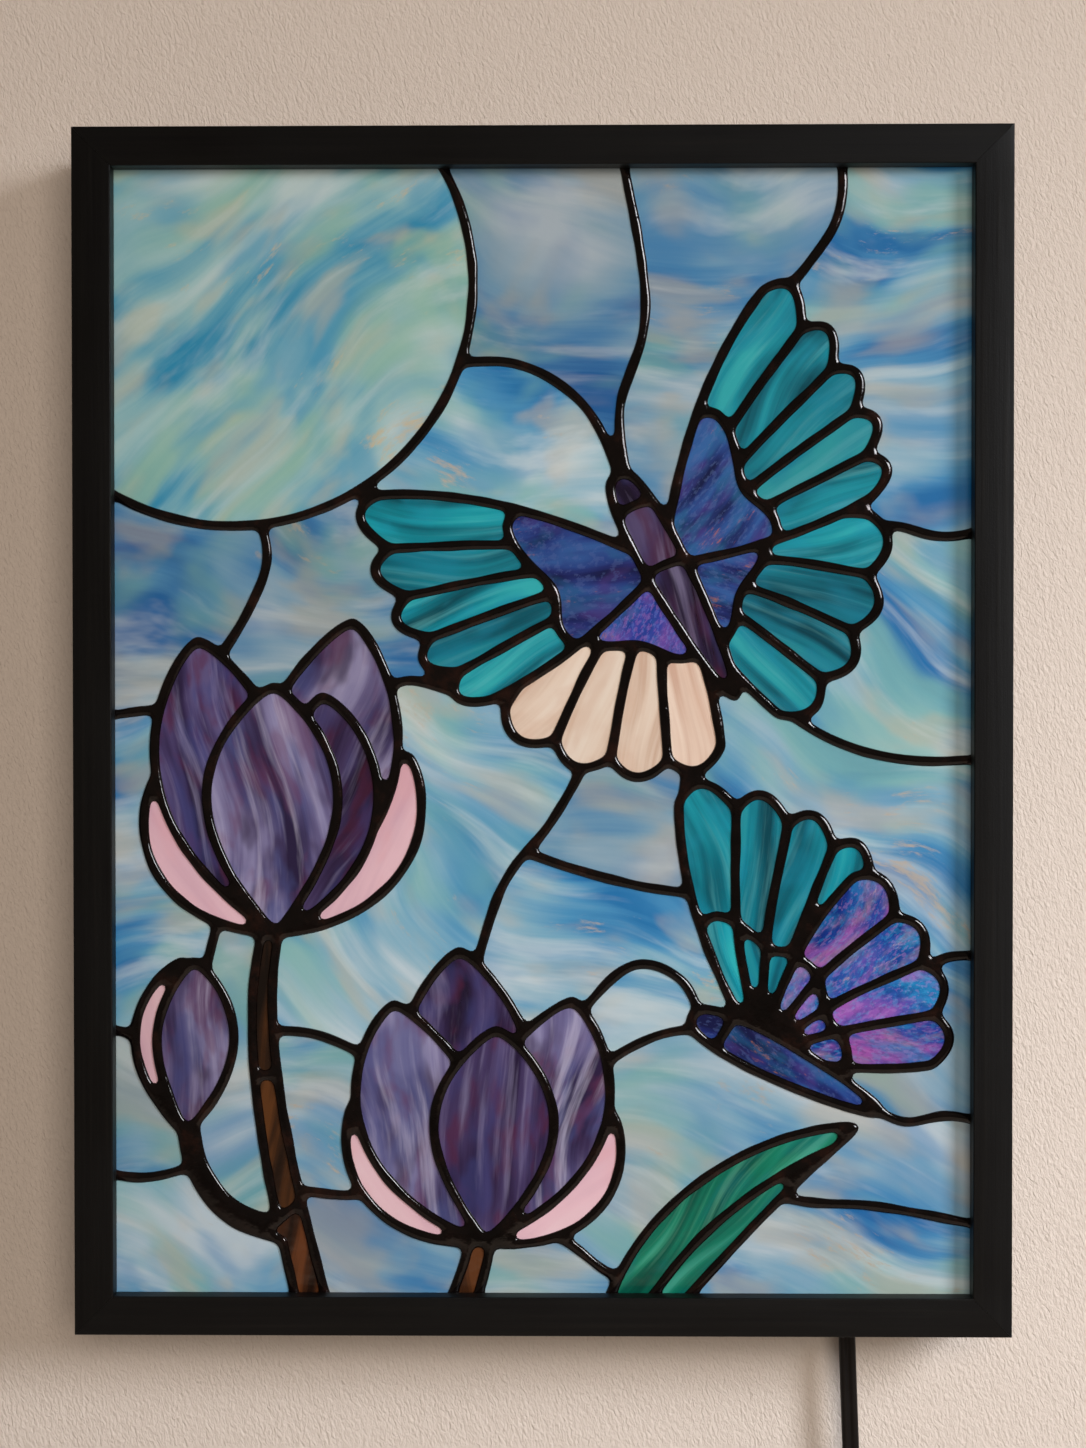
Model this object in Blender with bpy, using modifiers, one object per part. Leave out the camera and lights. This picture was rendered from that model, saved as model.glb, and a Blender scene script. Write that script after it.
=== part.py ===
"""A stained glass light box: a copper-foil glass panel in a deep black wooden frame that hangs on a wall.

The origin is on the wall, at the rear face of the hanger that the box hangs on. The wall is the plane y = 0,
the picture faces -Y, +X is to the right of someone who looks at it, and +Z is up.
"""

import math

import bmesh
import bpy
from mathutils import Matrix, Vector
from mathutils.geometry import delaunay_2d_cdt

# Fits and clearances, in metres like every size below
SEAT_GAP = 0.0003  # between faces that rest on each other
MITRE_GAP = 0.0003  # between two rails, across the mitre
PANEL_CLEARANCE = 0.0005  # between the panel's edge and the bottom of its groove
CORD_CLEARANCE = 0.0004  # round the cord in its grommet and its tie

# The wooden frame
FRAME_WIDTH = 0.325
FRAME_HEIGHT = 0.419
RAIL_FACE = 0.0135
RAIL_DEPTH = 0.038
RAIL_EDGE = 0.0007  # radius of the eased edges
LIP = 0.0065  # thickness of the wood in front of the panel
LAP = 0.006  # how far the lip covers the panel

# The stained glass panel
GLASS = 0.003
SOLDER_PROUD = 0.0012  # how far a solder line stands above the glass, on each side
SOLDER_WIDTH = 0.0024
FOIL_GAP = 0.0003  # between the glass and the solder line at its edge
BORDER_CAME = 0.004  # the metal edge round the panel, under the lip

# The back
BACK_BOARD = 0.003
BACK_MARGIN = 0.003  # how far the board stays inside the frame's outline
HANGER_STANDOFF = 0.003  # from the board's rear face to the wall
HANGER_WIDTH = 0.046
HANGER_HEIGHT = 0.010
HANGER_STEEL = 0.001
HANGER_FOOT = 0.007
HANGER_RISE = 0.003
HANGER_TEETH = 9
TOOTH_DEPTH = 0.0022
HANGER_BELOW_TOP = 0.022  # from the frame's top edge to the middle of the hanger
BUMPER_DIAMETER = 0.010
BUMPER_INSET = 0.016  # from the frame's outline to the bumper's middle

# The flat two-core cord, which the solids show as a round tube of its width
CORD_WIDTH = 0.0061
CORD_THICKNESS = 0.0030
CORD_X = 0.109
CORD_FROM_WALL = 0.015
GROMMET_WALL = 0.0019
GROMMET_FLANGE_WIDTH = 0.0025
GROMMET_FLANGE = 0.0018
CORD_STUB = 0.004  # how far the cord shows above the grommet, inside the box
COIL_DROP = 0.098  # from the frame's underside to the middle of the coil
COIL_DIAMETER = 0.066  # along the middle of the bundle of turns
COIL_LAYERS = 2  # turns side by side, away from the wall
COIL_ROUNDS = 4  # turns one outside the other
TURN_GAP = 0.0002  # between the flat sides of two rounds
COIL_FROM_WALL = 0.008
CORD_LEAN = 0.003  # how far the cord drifts to the right on its way to the coil
TAIL = 0.040  # from beside the coil's middle down to the plug
TIE_WIDTH = 0.008
TIE_STRAP = 0.0012

# The plug
PLUG_WIDTH = 0.024
PLUG_LENGTH = 0.030
PLUG_THICKNESS = 0.013
PLUG_NECK = 0.011
PLUG_EDGE = 0.002
PLUG_FROM_WALL = 0.008
BLADE_WIDTH = 0.0063
BLADE_THICKNESS = 0.0015
BLADE_LENGTH = 0.016
BLADE_SPACING = 0.0127

# How closely the solids follow the picture's curves
CURVE_TOLERANCE = 0.0005
CORNER = 0.0007  # radius of a cut corner of glass
SMALLEST_PIECE = 0.00003  # square metres; a smaller scrap joins its neighbour

# Places that follow from the sizes
FRAME_TOP = HANGER_BELOW_TOP
FRAME_BOTTOM = FRAME_TOP - FRAME_HEIGHT
FRAME_MIDDLE = FRAME_TOP - FRAME_HEIGHT / 2
BOARD_REAR = -HANGER_STANDOFF - SEAT_GAP
RAIL_REAR = BOARD_REAR - BACK_BOARD - SEAT_GAP
RAIL_FRONT = RAIL_REAR - RAIL_DEPTH
PANEL_THICKNESS = GLASS + 2 * SOLDER_PROUD
GROOVE_FRONT = RAIL_FRONT + LIP
GROOVE_REAR = GROOVE_FRONT + PANEL_THICKNESS + 2 * SEAT_GAP
GROOVE_DEPTH = LAP + PANEL_CLEARANCE
PANEL_MIDDLE = (GROOVE_FRONT + GROOVE_REAR) / 2
PANEL_WIDTH = FRAME_WIDTH - 2 * (RAIL_FACE - LAP)
PANEL_HEIGHT = FRAME_HEIGHT - 2 * (RAIL_FACE - LAP)
CORD_RADIUS = CORD_WIDTH / 2
CORD_HOLE = CORD_RADIUS + CORD_CLEARANCE
GROMMET_RADIUS = CORD_HOLE + GROMMET_WALL
GROMMET_FLANGE_RADIUS = GROMMET_RADIUS + GROMMET_FLANGE_WIDTH
COIL_AXIAL = COIL_LAYERS * CORD_WIDTH
TURN_PITCH = CORD_THICKNESS + TURN_GAP
COIL_RADIAL = COIL_ROUNDS * TURN_PITCH
COIL_OUTSIDE = (COIL_DIAMETER + COIL_RADIAL) / 2
COIL_OUTER_TURN = COIL_OUTSIDE - TURN_PITCH / 2
COIL_MIDDLE = Vector((CORD_X + CORD_LEAN - COIL_OUTER_TURN, -COIL_FROM_WALL, FRAME_BOTTOM - COIL_DROP))

# The picture is drawn on a sheet of this size, in the sheet's own millimetres, and stretched to the panel
SHEET_WIDTH = 310.0
SHEET_HEIGHT = 404.0


# Collections, materials and small helpers


def start_scene():
    """An empty scene with one collection for the parts and one for the cutters."""
    for item in list(bpy.data.objects):
        bpy.data.objects.remove(item)
    groups = []
    for name in ("stained_glass_light_box", "cutters"):
        group = bpy.data.collections.new(name)
        bpy.context.scene.collection.children.link(group)
        groups.append(group)
    return groups


def material(name, color, roughness, metallic=0.0):
    """A plain Principled material; the colour is given as linear red, green and blue."""
    made = bpy.data.materials.new(name)
    made.use_nodes = True
    shader = made.node_tree.nodes["Principled BSDF"]
    shader.inputs["Base Color"].default_value = (*color, 1.0)
    shader.inputs["Roughness"].default_value = roughness
    shader.inputs["Metallic"].default_value = metallic
    return made


def add(name, data, look, group, location=(0.0, 0.0, 0.0), rotation=(0.0, 0.0, 0.0)):
    """An object of the mesh or curve, placed, with its material."""
    made = bpy.data.objects.new(name, data)
    made.location = location
    made.rotation_euler = rotation
    if look:
        data.materials.append(look)
    group.objects.link(made)
    return made


def add_mesh(name, shape, look, group, **place):
    """An object from a bmesh, which is used up."""
    bmesh.ops.recalc_face_normals(shape, faces=shape.faces)
    mesh = bpy.data.meshes.new(name)
    shape.to_mesh(mesh)
    shape.free()
    return add(name, mesh, look, group, **place)


def box(name, size, look, group, location):
    """A box of the size about the location."""
    shape = bmesh.new()
    bmesh.ops.create_cube(shape, size=1.0)
    bmesh.ops.scale(shape, vec=size, verts=shape.verts)
    return add_mesh(name, shape, look, group, location=location)


def cylinder(name, radius, height, look, group, location, rotation=(0.0, 0.0, 0.0), sides=32):
    """A cylinder along its own Z axis, about the location."""
    shape = bmesh.new()
    bmesh.ops.create_cone(
        shape, cap_ends=True, segments=sides, radius1=radius, radius2=radius, depth=height
    )
    return add_mesh(name, shape, look, group, location=location, rotation=rotation)


def plate(name, loops, thickness, look, group, location, rotation=(math.pi / 2, 0.0, 0.0)):
    """A flat plate from closed outlines, holes included; by default it stands in the XZ plane."""
    curve = bpy.data.curves.new(name, "CURVE")
    curve.dimensions = "2D"
    curve.fill_mode = "BOTH"
    curve.extrude = thickness / 2
    for loop in loops:
        spline = curve.splines.new("POLY")
        spline.points.add(len(loop) - 1)
        for point, (x, y) in zip(spline.points, loop):
            point.co = (x, y, 0.0, 1.0)
        spline.use_cyclic_u = True
    return add(name, curve, look, group, location=location, rotation=rotation)


def pierced_plate(name, outline, holes, thickness, look, group, location):
    """A flat plate in the XZ plane with many holes: the triangles between them, given a thickness."""
    spots, faces = [], []
    for loop in (outline, *holes):
        faces.append(list(range(len(spots), len(spots) + len(loop))))
        spots += loop
    points, _, triangles, _, _, covers = delaunay_2d_cdt(spots, [], faces, 0, 1e-7, True)
    solid = [triangle for triangle, covering in zip(triangles, covers) if list(covering) == [0]]
    used = sorted({v for triangle in solid for v in triangle})
    number = {v: i for i, v in enumerate(used)}
    mesh = bpy.data.meshes.new(name)
    mesh.from_pydata(
        [(points[v].x, 0.0, points[v].y) for v in used],
        [],
        [[number[v] for v in triangle] for triangle in solid],
    )
    made = add(name, mesh, look, group, location=location)
    solidify = made.modifiers.new("thickness", "SOLIDIFY")
    solidify.thickness = thickness
    solidify.offset = 0.0
    return made


def turned(name, profile, look, group, location, sides=32):
    """A solid turned about its own Z axis from a closed profile of (radius, height) points."""
    mesh = bpy.data.meshes.new(name)
    count = len(profile)
    mesh.from_pydata(
        [(radius, 0.0, height) for radius, height in profile],
        [(i, (i + 1) % count) for i in range(count)],
        [],
    )
    made = add(name, mesh, look, group, location=location)
    screw = made.modifiers.new("turn", "SCREW")
    screw.axis = "Z"
    screw.angle = 2 * math.pi
    screw.steps = screw.render_steps = sides
    screw.use_merge_vertices = True
    screw.merge_threshold = 0.00001
    return made


def cut(target, cutter):
    """Subtract the cutter and keep it as a hidden guide."""
    cutter.hide_render = True
    cutter.display_type = "WIRE"
    boolean = target.modifiers.new("cut " + cutter.name, "BOOLEAN")
    boolean.operation = "DIFFERENCE"
    boolean.object = cutter


def ease(target, width, segments=2):
    """Round the edges of a solid."""
    bevel = target.modifiers.new("eased edges", "BEVEL")
    bevel.width = width
    bevel.segments = segments
    bevel.limit_method = "ANGLE"


# Curves of the picture, as points in the sheet's millimetres


def toward(heading):
    """The unit vector of a heading in degrees, anticlockwise from the right."""
    return Vector((math.cos(math.radians(heading)), math.sin(math.radians(heading))))


def rectangle(width, height):
    """A rectangle about the middle."""
    return [Vector((x * width / 2, y * height / 2)) for x, y in ((-1, -1), (1, -1), (1, 1), (-1, 1))]


def bezier(start, pull, end, steps=14):
    """A curve from start to end that leans towards pull, without its last point."""
    points = []
    for i in range(steps):
        t = i / steps
        points.append((1 - t) ** 2 * start + 2 * t * (1 - t) * pull + t**2 * end)
    return points


def smooth(*stations, steps=12):
    """An open curve through all the stations, which are in the plane or in space."""
    spots = [Vector(s) for s in stations]
    spots = [2 * spots[0] - spots[1], *spots, 2 * spots[-1] - spots[-2]]
    points = []
    for a, b, c, d in zip(spots, spots[1:], spots[2:], spots[3:]):
        for i in range(steps):
            t = i / steps
            points.append(
                b
                + (c - a) * (t / 2)
                + (2 * a - 5 * b + 4 * c - d) * (t**2 / 2)
                + (3 * b - a - 3 * c + d) * (t**3 / 2)
            )
    return [*points, spots[-2]]


def ellipse(middle, heading, length, width, steps=40):
    """An ellipse whose length lies along the heading."""
    along, across = toward(heading) * length / 2, toward(heading + 90) * width / 2
    turns = [2 * math.pi * i / steps for i in range(steps)]
    return [Vector(middle) + along * math.cos(a) + across * math.sin(a) for a in turns]


def rib(base, heading, length, bend, steps=24):
    """The middle line of a leaf: points and headings along an arc that turns by bend in all."""
    spot, line = Vector(base), []
    for i in range(steps + 1):
        here = heading + bend * i / steps
        line.append((spot.copy(), here))
        spot += toward(here + bend / steps / 2) * (length / steps)
    return line


def petal(base, heading, length, width, bend=0.0, widest=0.55, fullness=0.75):
    """A petal or leaf that is pointed at both ends and widest at that share of its length."""
    line = rib(base, heading, length, bend)
    swell = math.log(0.5) / math.log(widest)
    sides = [[], []]
    for i, (spot, here) in enumerate(line):
        half = width / 2 * max(math.sin(math.pi * (i / (len(line) - 1)) ** swell), 0.0) ** fullness
        for side, sign in zip(sides, (1, -1)):
            side.append(spot + toward(here + 90) * (sign * half))
    return sides[1][:-1] + sides[0][:0:-1]


def stalk(*stations, start=4.0, end=9.0):
    """A stem through the stations that widens from start to end."""
    line = smooth(*stations)
    left, right = [], []
    for i, spot in enumerate(line):
        way = line[min(i + 1, len(line) - 1)] - line[max(i - 1, 0)]
        side = Vector((-way.y, way.x)).normalized() * (start + (end - start) * i / (len(line) - 1)) / 2
        left.append(spot + side)
        right.append(spot - side)
    return left + right[::-1]


def wing_reach(reach, share):
    """The radius of a wing's margin at a share of the way from its leading to its trailing edge."""
    return reach[0] + (reach[1] - reach[0]) * share**0.8


def wing(root, lead, trail, reach, cells, lobe=0.09):
    """A wing that fans out from its root between two headings, with one round lobe for each cell."""
    root = Vector(root)
    outward = math.copysign(1.0, lead - trail)
    notches = [
        root + toward(lead + (trail - lead) * k / cells) * wing_reach(reach, k / cells)
        for k in range(cells + 1)
    ]
    outline = bezier(root, root + toward(lead + 13 * outward) * reach[0] * 0.6, notches[0])
    for k in range(cells):
        middle = (k + 0.5) / cells
        pull = root + toward(lead + (trail - lead) * middle) * wing_reach(reach, middle) * (1 + 2 * lobe)
        outline += bezier(notches[k], pull, notches[k + 1], steps=10)
    return outline + bezier(notches[-1], root + toward(trail - 10 * outward) * reach[1] * 0.55, root)


def wing_heart(root, lead, trail, reach, share):
    """The inner cell of a wing, out to a share of its reach; it runs past both edges of the wing."""
    steps = 20
    arc = []
    for i in range(steps + 1):
        t = -0.25 + 1.5 * i / steps
        radius = wing_reach(reach, min(max(t, 0.0), 1.0)) * share * (1 + 0.10 * math.cos(2 * math.pi * t))
        arc.append(Vector(root) + toward(lead + (trail - lead) * t) * radius)
    return [Vector(root), *arc]


# The picture: a disc in the sky, two butterflies, and flowers on their stems


def flower(name, base, petals):
    """Petals from one base, the back ones first: (heading, length, width, bend, glass)."""
    return [
        (f"{name}_petal_{i + 1}", glass, petal(base, heading, length, width, bend), None)
        for i, (heading, length, width, bend, glass) in enumerate(petals)
    ]


def wing_shapes(name, root, lead, trail, reach, cells, share, glasses):
    """A wing's two solids: its outer cells, and the heart on top of them."""
    return [
        (f"{name}_cells", glasses[0], wing(root, lead, trail, reach, cells), None),
        (f"{name}_heart", glasses[1], wing_heart(root, lead, trail, reach, share), f"{name}_cells"),
    ]


def picture_shapes():
    """Every closed shape as (name, glass, outline, parent), the lowest first.

    A child stays inside its parent, and shapes of one name make one piece.
    """
    shapes = [("disc", "disc", ellipse((-108, 156), 0, 168, 168, steps=72), None)]
    shapes += [
        ("tall_stem", "stem", stalk((-93, -56), (-98, -96), (-93, -146), (-76, -220), start=5, end=11), None),
        ("tall_stem", "stem", stalk((-125, -130), (-121, -152), (-109, -168), (-88, -176), start=4.5, end=6), None),
        ("short_stem", "stem", stalk((-20, -166), (-24, -188), (-36, -220), start=6, end=10), None),
        ("leaf", "emerald", petal((22, -222), 66, 124, 26, bend=-44, widest=0.42), None),
    ]
    shapes += flower("bud", (-125, -140), [(99, 60, 30, -16, "pink"), (80, 60, 27, 14, "violet")])
    shapes += flower(
        "upper_flower",
        (-93, -70),
        [
            (38, 78, 34, 30, "pink"),
            (144, 70, 32, -34, "pink"),
            (70, 112, 48, 12, "violet"),
            (113, 106, 46, -16, "plum"),
            (58, 86, 38, 42, "plum"),
            (93, 86, 46, -5, "violet"),
        ],
    )
    shapes += flower(
        "lower_flower",
        (-20, -178),
        [
            (152, 68, 30, -38, "pink"),
            (26, 64, 30, 38, "pink"),
            (99, 102, 48, -8, "plum"),
            (60, 90, 44, 20, "violet"),
            (126, 90, 42, -30, "violet"),
            (84, 74, 42, 6, "plum"),
        ],
    )
    root = (42, 58)
    shapes += wing_shapes("left_hindwing", root, 222, 288, (74, 66), 4, 0.46, ("cream", "violet_blue"))
    shapes += wing_shapes("right_hindwing", root, 14, -52, (74, 66), 4, 0.46, ("teal", "cobalt"))
    shapes += wing_shapes("left_forewing", root, 166, 218, (102, 76), 5, 0.50, ("teal", "cobalt"))
    shapes += wing_shapes("right_forewing", root, 70, 18, (102, 76), 5, 0.50, ("teal", "cobalt"))
    root = (76, -112)
    shapes += [
        ("large_body", "plum", petal((26, 90), -62, 88, 15, widest=0.34, fullness=0.55), None),
        ("far_wing", "teal", wing(root, 108, 58, (92, 72), 4), None),
        ("near_wing", "mottled", wing(root, 62, -4, (70, 60), 4), None),
        ("small_body", "cobalt", petal((52, -99), -27, 74, 14, widest=0.34, fullness=0.55), None),
    ]
    return shapes


def sky_cuts():
    """The lines between the pieces of sky; their ends lie inside the shapes that they join or off the sheet."""
    return [
        smooth((30, 81), (16, 112), (-8, 128), (-40, 128)),
        smooth((76, 146), (92, 162), (104, 184), (102, 220)),
        smooth((-46, 76), (-60, 82), (-78, 100)),
        smooth((80, 10), (104, -4), (132, -10), (172, -8)),
        smooth((-100, 80), (-96, 60), (-104, 40), (-118, 18)),
        smooth((0, 22), (-26, 14), (-48, 18), (-66, 6)),
        smooth((60, 2), (50, -16), (52, -34), (66, -44)),
        smooth((22, 2), (4, -30), (-14, -54), (-26, -92)),
        smooth((58, -103), (40, -106), (22, -116), (8, -132)),
        smooth((132, -84), (144, -78), (172, -80)),
        smooth((112, -129), (126, -136), (144, -134), (172, -142)),
        smooth((-120, -94), (-116, -76), (-110, -52)),
        smooth((-98, -104), (-78, -106), (-58, -116), (-44, -132)),
    ]


# From the drawing to the pieces of glass


def area(loop):
    """The area inside a loop, negative where the loop runs clockwise."""
    return sum(a.cross(b) for a, b in zip(loop, loop[1:] + loop[:1])) / 2


def centroid(loop):
    """The middle of the area inside a loop."""
    weighted = Vector((0.0, 0.0))
    for a, b in zip(loop, loop[1:] + loop[:1]):
        weighted += (a + b) * a.cross(b) / 6
    return weighted / area(loop)


def simplified(line, tolerance):
    """The line with only the points that it needs to stay within the tolerance."""
    if len(line) < 3:
        return line
    chord = line[-1] - line[0]
    length = max(chord.length, 1e-9)
    offsets = [abs(chord.cross(p - line[0])) / length if length > 1e-6 else (p - line[0]).length for p in line]
    far = max(range(len(line)), key=offsets.__getitem__)
    if offsets[far] <= tolerance:
        return [line[0], line[-1]]
    return simplified(line[: far + 1], tolerance)[:-1] + simplified(line[far:], tolerance)


def simplified_loop(loop, tolerance):
    """A closed outline simplified in two halves, from its first point and the one farthest from it."""
    far = max(range(len(loop)), key=lambda i: (loop[i] - loop[0]).length)
    return simplified(loop[: far + 1], tolerance)[:-1] + simplified(loop[far:] + loop[:1], tolerance)[:-1]


def boundary_loops(triangles, inside, points):
    """The closed boundaries of the chosen triangles, each with its inside on the left."""
    sides = set()
    for i in inside:
        a, b, c = triangles[i]
        sides |= {(a, b), (b, c), (c, a)}
    onward = {}
    for a, b in sides:
        if (b, a) not in sides:
            onward.setdefault(a, []).append(b)
    loops = []
    while onward:
        start = next(iter(onward))
        before, here, loop = None, start, []
        while here in onward:
            options = onward[here]
            if len(options) > 1 and before is not None:
                back = points[before] - points[here]
                options.sort(key=lambda n: back.angle_signed(points[n] - points[here], 0.0) % (2 * math.pi))
            following = options.pop(0)
            if not options:
                del onward[here]
            loop.append(points[here])
            before, here = here, following
            if here == start:
                break
        loops.append(loop)
    return sorted(loops, key=area, reverse=True)


def winding(loop, spot):
    """How many times the loop runs round the spot."""
    turns = 0
    for a, b in zip(loop, loop[1:] + loop[:1]):
        if (a.y <= spot.y) != (b.y <= spot.y):
            left = (b - a).cross(spot - a) > 0
            turns += 1 if left and b.y > a.y else -1 if not left and b.y < a.y else 0
    return turns


def moved(loop, distance, arc_step=60.0):
    """The loop moved inward by the distance, round at the corners that it turns about, without folds."""
    raw = []
    for before, here, after in zip(loop[-1:] + loop[:-1], loop, loop[1:] + loop[:1]):
        come, go = here - before, after - here
        shortest = min(come.length, go.length)
        come, go = come.normalized(), go.normalized()
        turn = math.atan2(come.cross(go), come.dot(go))
        first, last = Vector((-come.y, come.x)) * distance, Vector((-go.y, go.x)) * distance
        shrinks = turn * distance > 0
        if shrinks and abs(distance * math.tan(turn / 2)) > shortest:
            raw += [here + first, here, here + last]
        elif not shrinks and abs(turn) > math.radians(arc_step):
            steps = math.ceil(abs(turn) / math.radians(arc_step))
            raw += [here + Matrix.Rotation(turn * k / steps, 2) @ first for k in range(steps + 1)]
        else:
            raw.append(here + (first + last) / (1 + math.cos(turn)))
    edges = [(i, (i + 1) % len(raw)) for i in range(len(raw))]
    points, _, faces, *_ = delaunay_2d_cdt(raw, edges, [], 0, 1e-7, False)
    kept = [i for i, f in enumerate(faces) if winding(raw, sum((points[v] for v in f), Vector((0, 0))) / 3) == 1]
    return boundary_loops(faces, kept, points)[0]


def opening(loop):
    """The hole in the solder for a piece: sharp corners are blunted, and the narrowest necks closed."""
    half = SOLDER_WIDTH / 2
    return simplified_loop(moved(moved(loop, half + CORNER), -CORNER), CURVE_TOLERANCE)


def connected(triangles, same_piece):
    """Groups of triangles joined across the edges where same_piece says so."""
    beside = {}
    for i, (a, b, c) in enumerate(triangles):
        for edge in ((a, b), (b, c), (c, a)):
            beside.setdefault(frozenset(edge), []).append(i)
    neighbours = [[] for _ in triangles]
    for edge, owners in beside.items():
        if len(owners) == 2 and same_piece(edge, *owners):
            neighbours[owners[0]].append(owners[1])
            neighbours[owners[1]].append(owners[0])
    group_of = [None] * len(triangles)
    groups = []
    for first in range(len(triangles)):
        if group_of[first] is not None:
            continue
        group_of[first] = len(groups)
        members = [first]
        for i in members:
            for j in neighbours[i]:
                if group_of[j] is None:
                    group_of[j] = len(groups)
                    members.append(j)
        groups.append(members)
    return groups, group_of, beside


def join_scraps(groups, group_of, beside, triangles, points, labels, smallest):
    """Give each group that is too small to the neighbour that it shares the longest line with."""

    def size(members):
        return sum(abs(area([points[v] for v in triangles[i]])) for i in members)

    for number, members in sorted(enumerate(groups), key=lambda g: size(g[1])):
        if labels[members[0]] is None or size(groups[number]) > smallest:
            continue
        shared = {}
        for edge, owners in beside.items():
            if len(owners) == 2:
                sides = [group_of[i] for i in owners]
                if number in sides and sides[0] != sides[1]:
                    other = sides[0] if sides[1] == number else sides[1]
                    if labels[groups[other][0]] is not None:
                        a, b = (points[v] for v in edge)
                        shared[other] = shared.get(other, 0.0) + (a - b).length
        if shared:
            other = max(shared, key=shared.get)
            for i in members:
                group_of[i] = other
            groups[other] += members
            groups[number] = []
            for i in members:
                labels[i] = labels[groups[other][0]]


def glass_regions():
    """The centre lines of the solder as loops: {name: (glass, loop)}, in metres about the panel's middle.

    The pieces of one shape are numbered from left to right.
    """
    across, up = PANEL_WIDTH / SHEET_WIDTH, PANEL_HEIGHT / SHEET_HEIGHT

    def placed(line):
        return [Vector((p[0] * across, p[1] * up)) for p in line]

    inside = rectangle(PANEL_WIDTH - 2 * BORDER_CAME, PANEL_HEIGHT - 2 * BORDER_CAME)
    shapes = [("sky", "sky", inside, None)]
    for name, glass, outline, parent in picture_shapes():
        loop = simplified_loop(placed(outline), CURVE_TOLERANCE)
        shapes.append((name, glass, loop if area(loop) > 0 else loop[::-1], parent))
    number = {}
    for i, shape in enumerate(shapes):
        number.setdefault(shape[0], i)
    spots, edges, faces = [], [], []
    for _, _, loop, _ in shapes:
        faces.append(list(range(len(spots), len(spots) + len(loop))))
        spots += loop
    for line in sky_cuts():
        line = simplified(placed(line), CURVE_TOLERANCE)
        edges += [(len(spots) + i, len(spots) + i + 1) for i in range(len(line) - 1)]
        spots += line
    points, lines, triangles, _, sources, covers = delaunay_2d_cdt(spots, edges, faces, 0, 1e-7, True)
    cut_lines = {frozenset(line) for line, ids in zip(lines, sources) if any(i < len(edges) for i in ids)}

    def label(covering):
        if number["sky"] not in covering:
            return None
        top = max(i for i in covering if shapes[i][3] is None or number[shapes[i][3]] in covering)
        return number[shapes[top][0]]

    labels = [label(set(covering)) for covering in covers]
    groups, group_of, beside = connected(
        triangles, lambda edge, i, j: labels[i] == labels[j] and not (labels[i] == 0 and edge in cut_lines)
    )
    join_scraps(groups, group_of, beside, triangles, points, labels, SMALLEST_PIECE)
    found = {}
    for members in groups:
        if members and labels[members[0]] is not None:
            loops = boundary_loops(triangles, members, points)
            found.setdefault(labels[members[0]], []).append(loops[0])
    regions = {}
    for i, (name, glass, _, _) in enumerate(shapes):
        loops = sorted(found.get(i, []), key=lambda loop: centroid(loop).x)
        for k, loop in enumerate(loops):
            regions[name if len(loops) == 1 else f"{name}_{k + 1:02d}"] = (glass, loop)
    return regions


# The pieces of the object


def rail_profile():
    """A rail's section as (distance in from the frame's outline, y): eased edges and the panel's groove."""

    def corner(middle, start):
        turns = [math.radians(start + 30 * k) for k in range(4)]
        return [(middle[0] + RAIL_EDGE * math.cos(a), middle[1] + RAIL_EDGE * math.sin(a)) for a in turns]

    inner = RAIL_FACE - RAIL_EDGE
    front, rear = RAIL_FRONT + RAIL_EDGE, RAIL_REAR - RAIL_EDGE
    bottom = RAIL_FACE - GROOVE_DEPTH
    return [
        *corner((RAIL_EDGE, front), 180),
        *corner((inner, front), 270),
        (RAIL_FACE, GROOVE_FRONT),
        (bottom, GROOVE_FRONT),
        (bottom, GROOVE_REAR),
        (RAIL_FACE, GROOVE_REAR),
        (RAIL_FACE, RAIL_REAR),
        *corner((RAIL_EDGE, rear), 90),
    ]


def rail(name, length, turn, look, group):
    """One rail with mitred ends; turn is its angle about Y, 0 for the bottom one."""
    shape = bmesh.new()
    away = (FRAME_WIDTH + FRAME_HEIGHT - length) / 2
    ends = []
    for sign in (-1, 1):
        ring = []
        for inward, y in rail_profile():
            along = length / 2 - inward - MITRE_GAP / math.sqrt(2)
            ring.append(shape.verts.new((sign * along, y, inward - away)))
        ends.append(ring)
    shape.faces.new(ends[0])
    shape.faces.new(ends[1])
    count = len(ends[0])
    for i in range(count):
        j = (i + 1) % count
        shape.faces.new((ends[0][i], ends[0][j], ends[1][j], ends[1][i]))
    return add_mesh(name, shape, look, group, location=(0, 0, FRAME_MIDDLE), rotation=(0, turn, 0))


def frame(group, cutters):
    """Four mitred rails; the bottom one is bored for the cord's grommet."""
    black = material("black_stained_wood", (0.006, 0.0055, 0.005), 0.5)
    rails = [
        rail("frame_rail_bottom", FRAME_WIDTH, 0.0, black, group),
        rail("frame_rail_right", FRAME_HEIGHT, -math.pi / 2, black, group),
        rail("frame_rail_top", FRAME_WIDTH, math.pi, black, group),
        rail("frame_rail_left", FRAME_HEIGHT, math.pi / 2, black, group),
    ]
    bore = cylinder(
        "grommet_bore",
        GROMMET_RADIUS + CORD_CLEARANCE,
        4 * RAIL_FACE,
        None,
        cutters,
        location=(CORD_X, -CORD_FROM_WALL, FRAME_BOTTOM + RAIL_FACE / 2),
    )
    cut(rails[0], bore)


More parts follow.
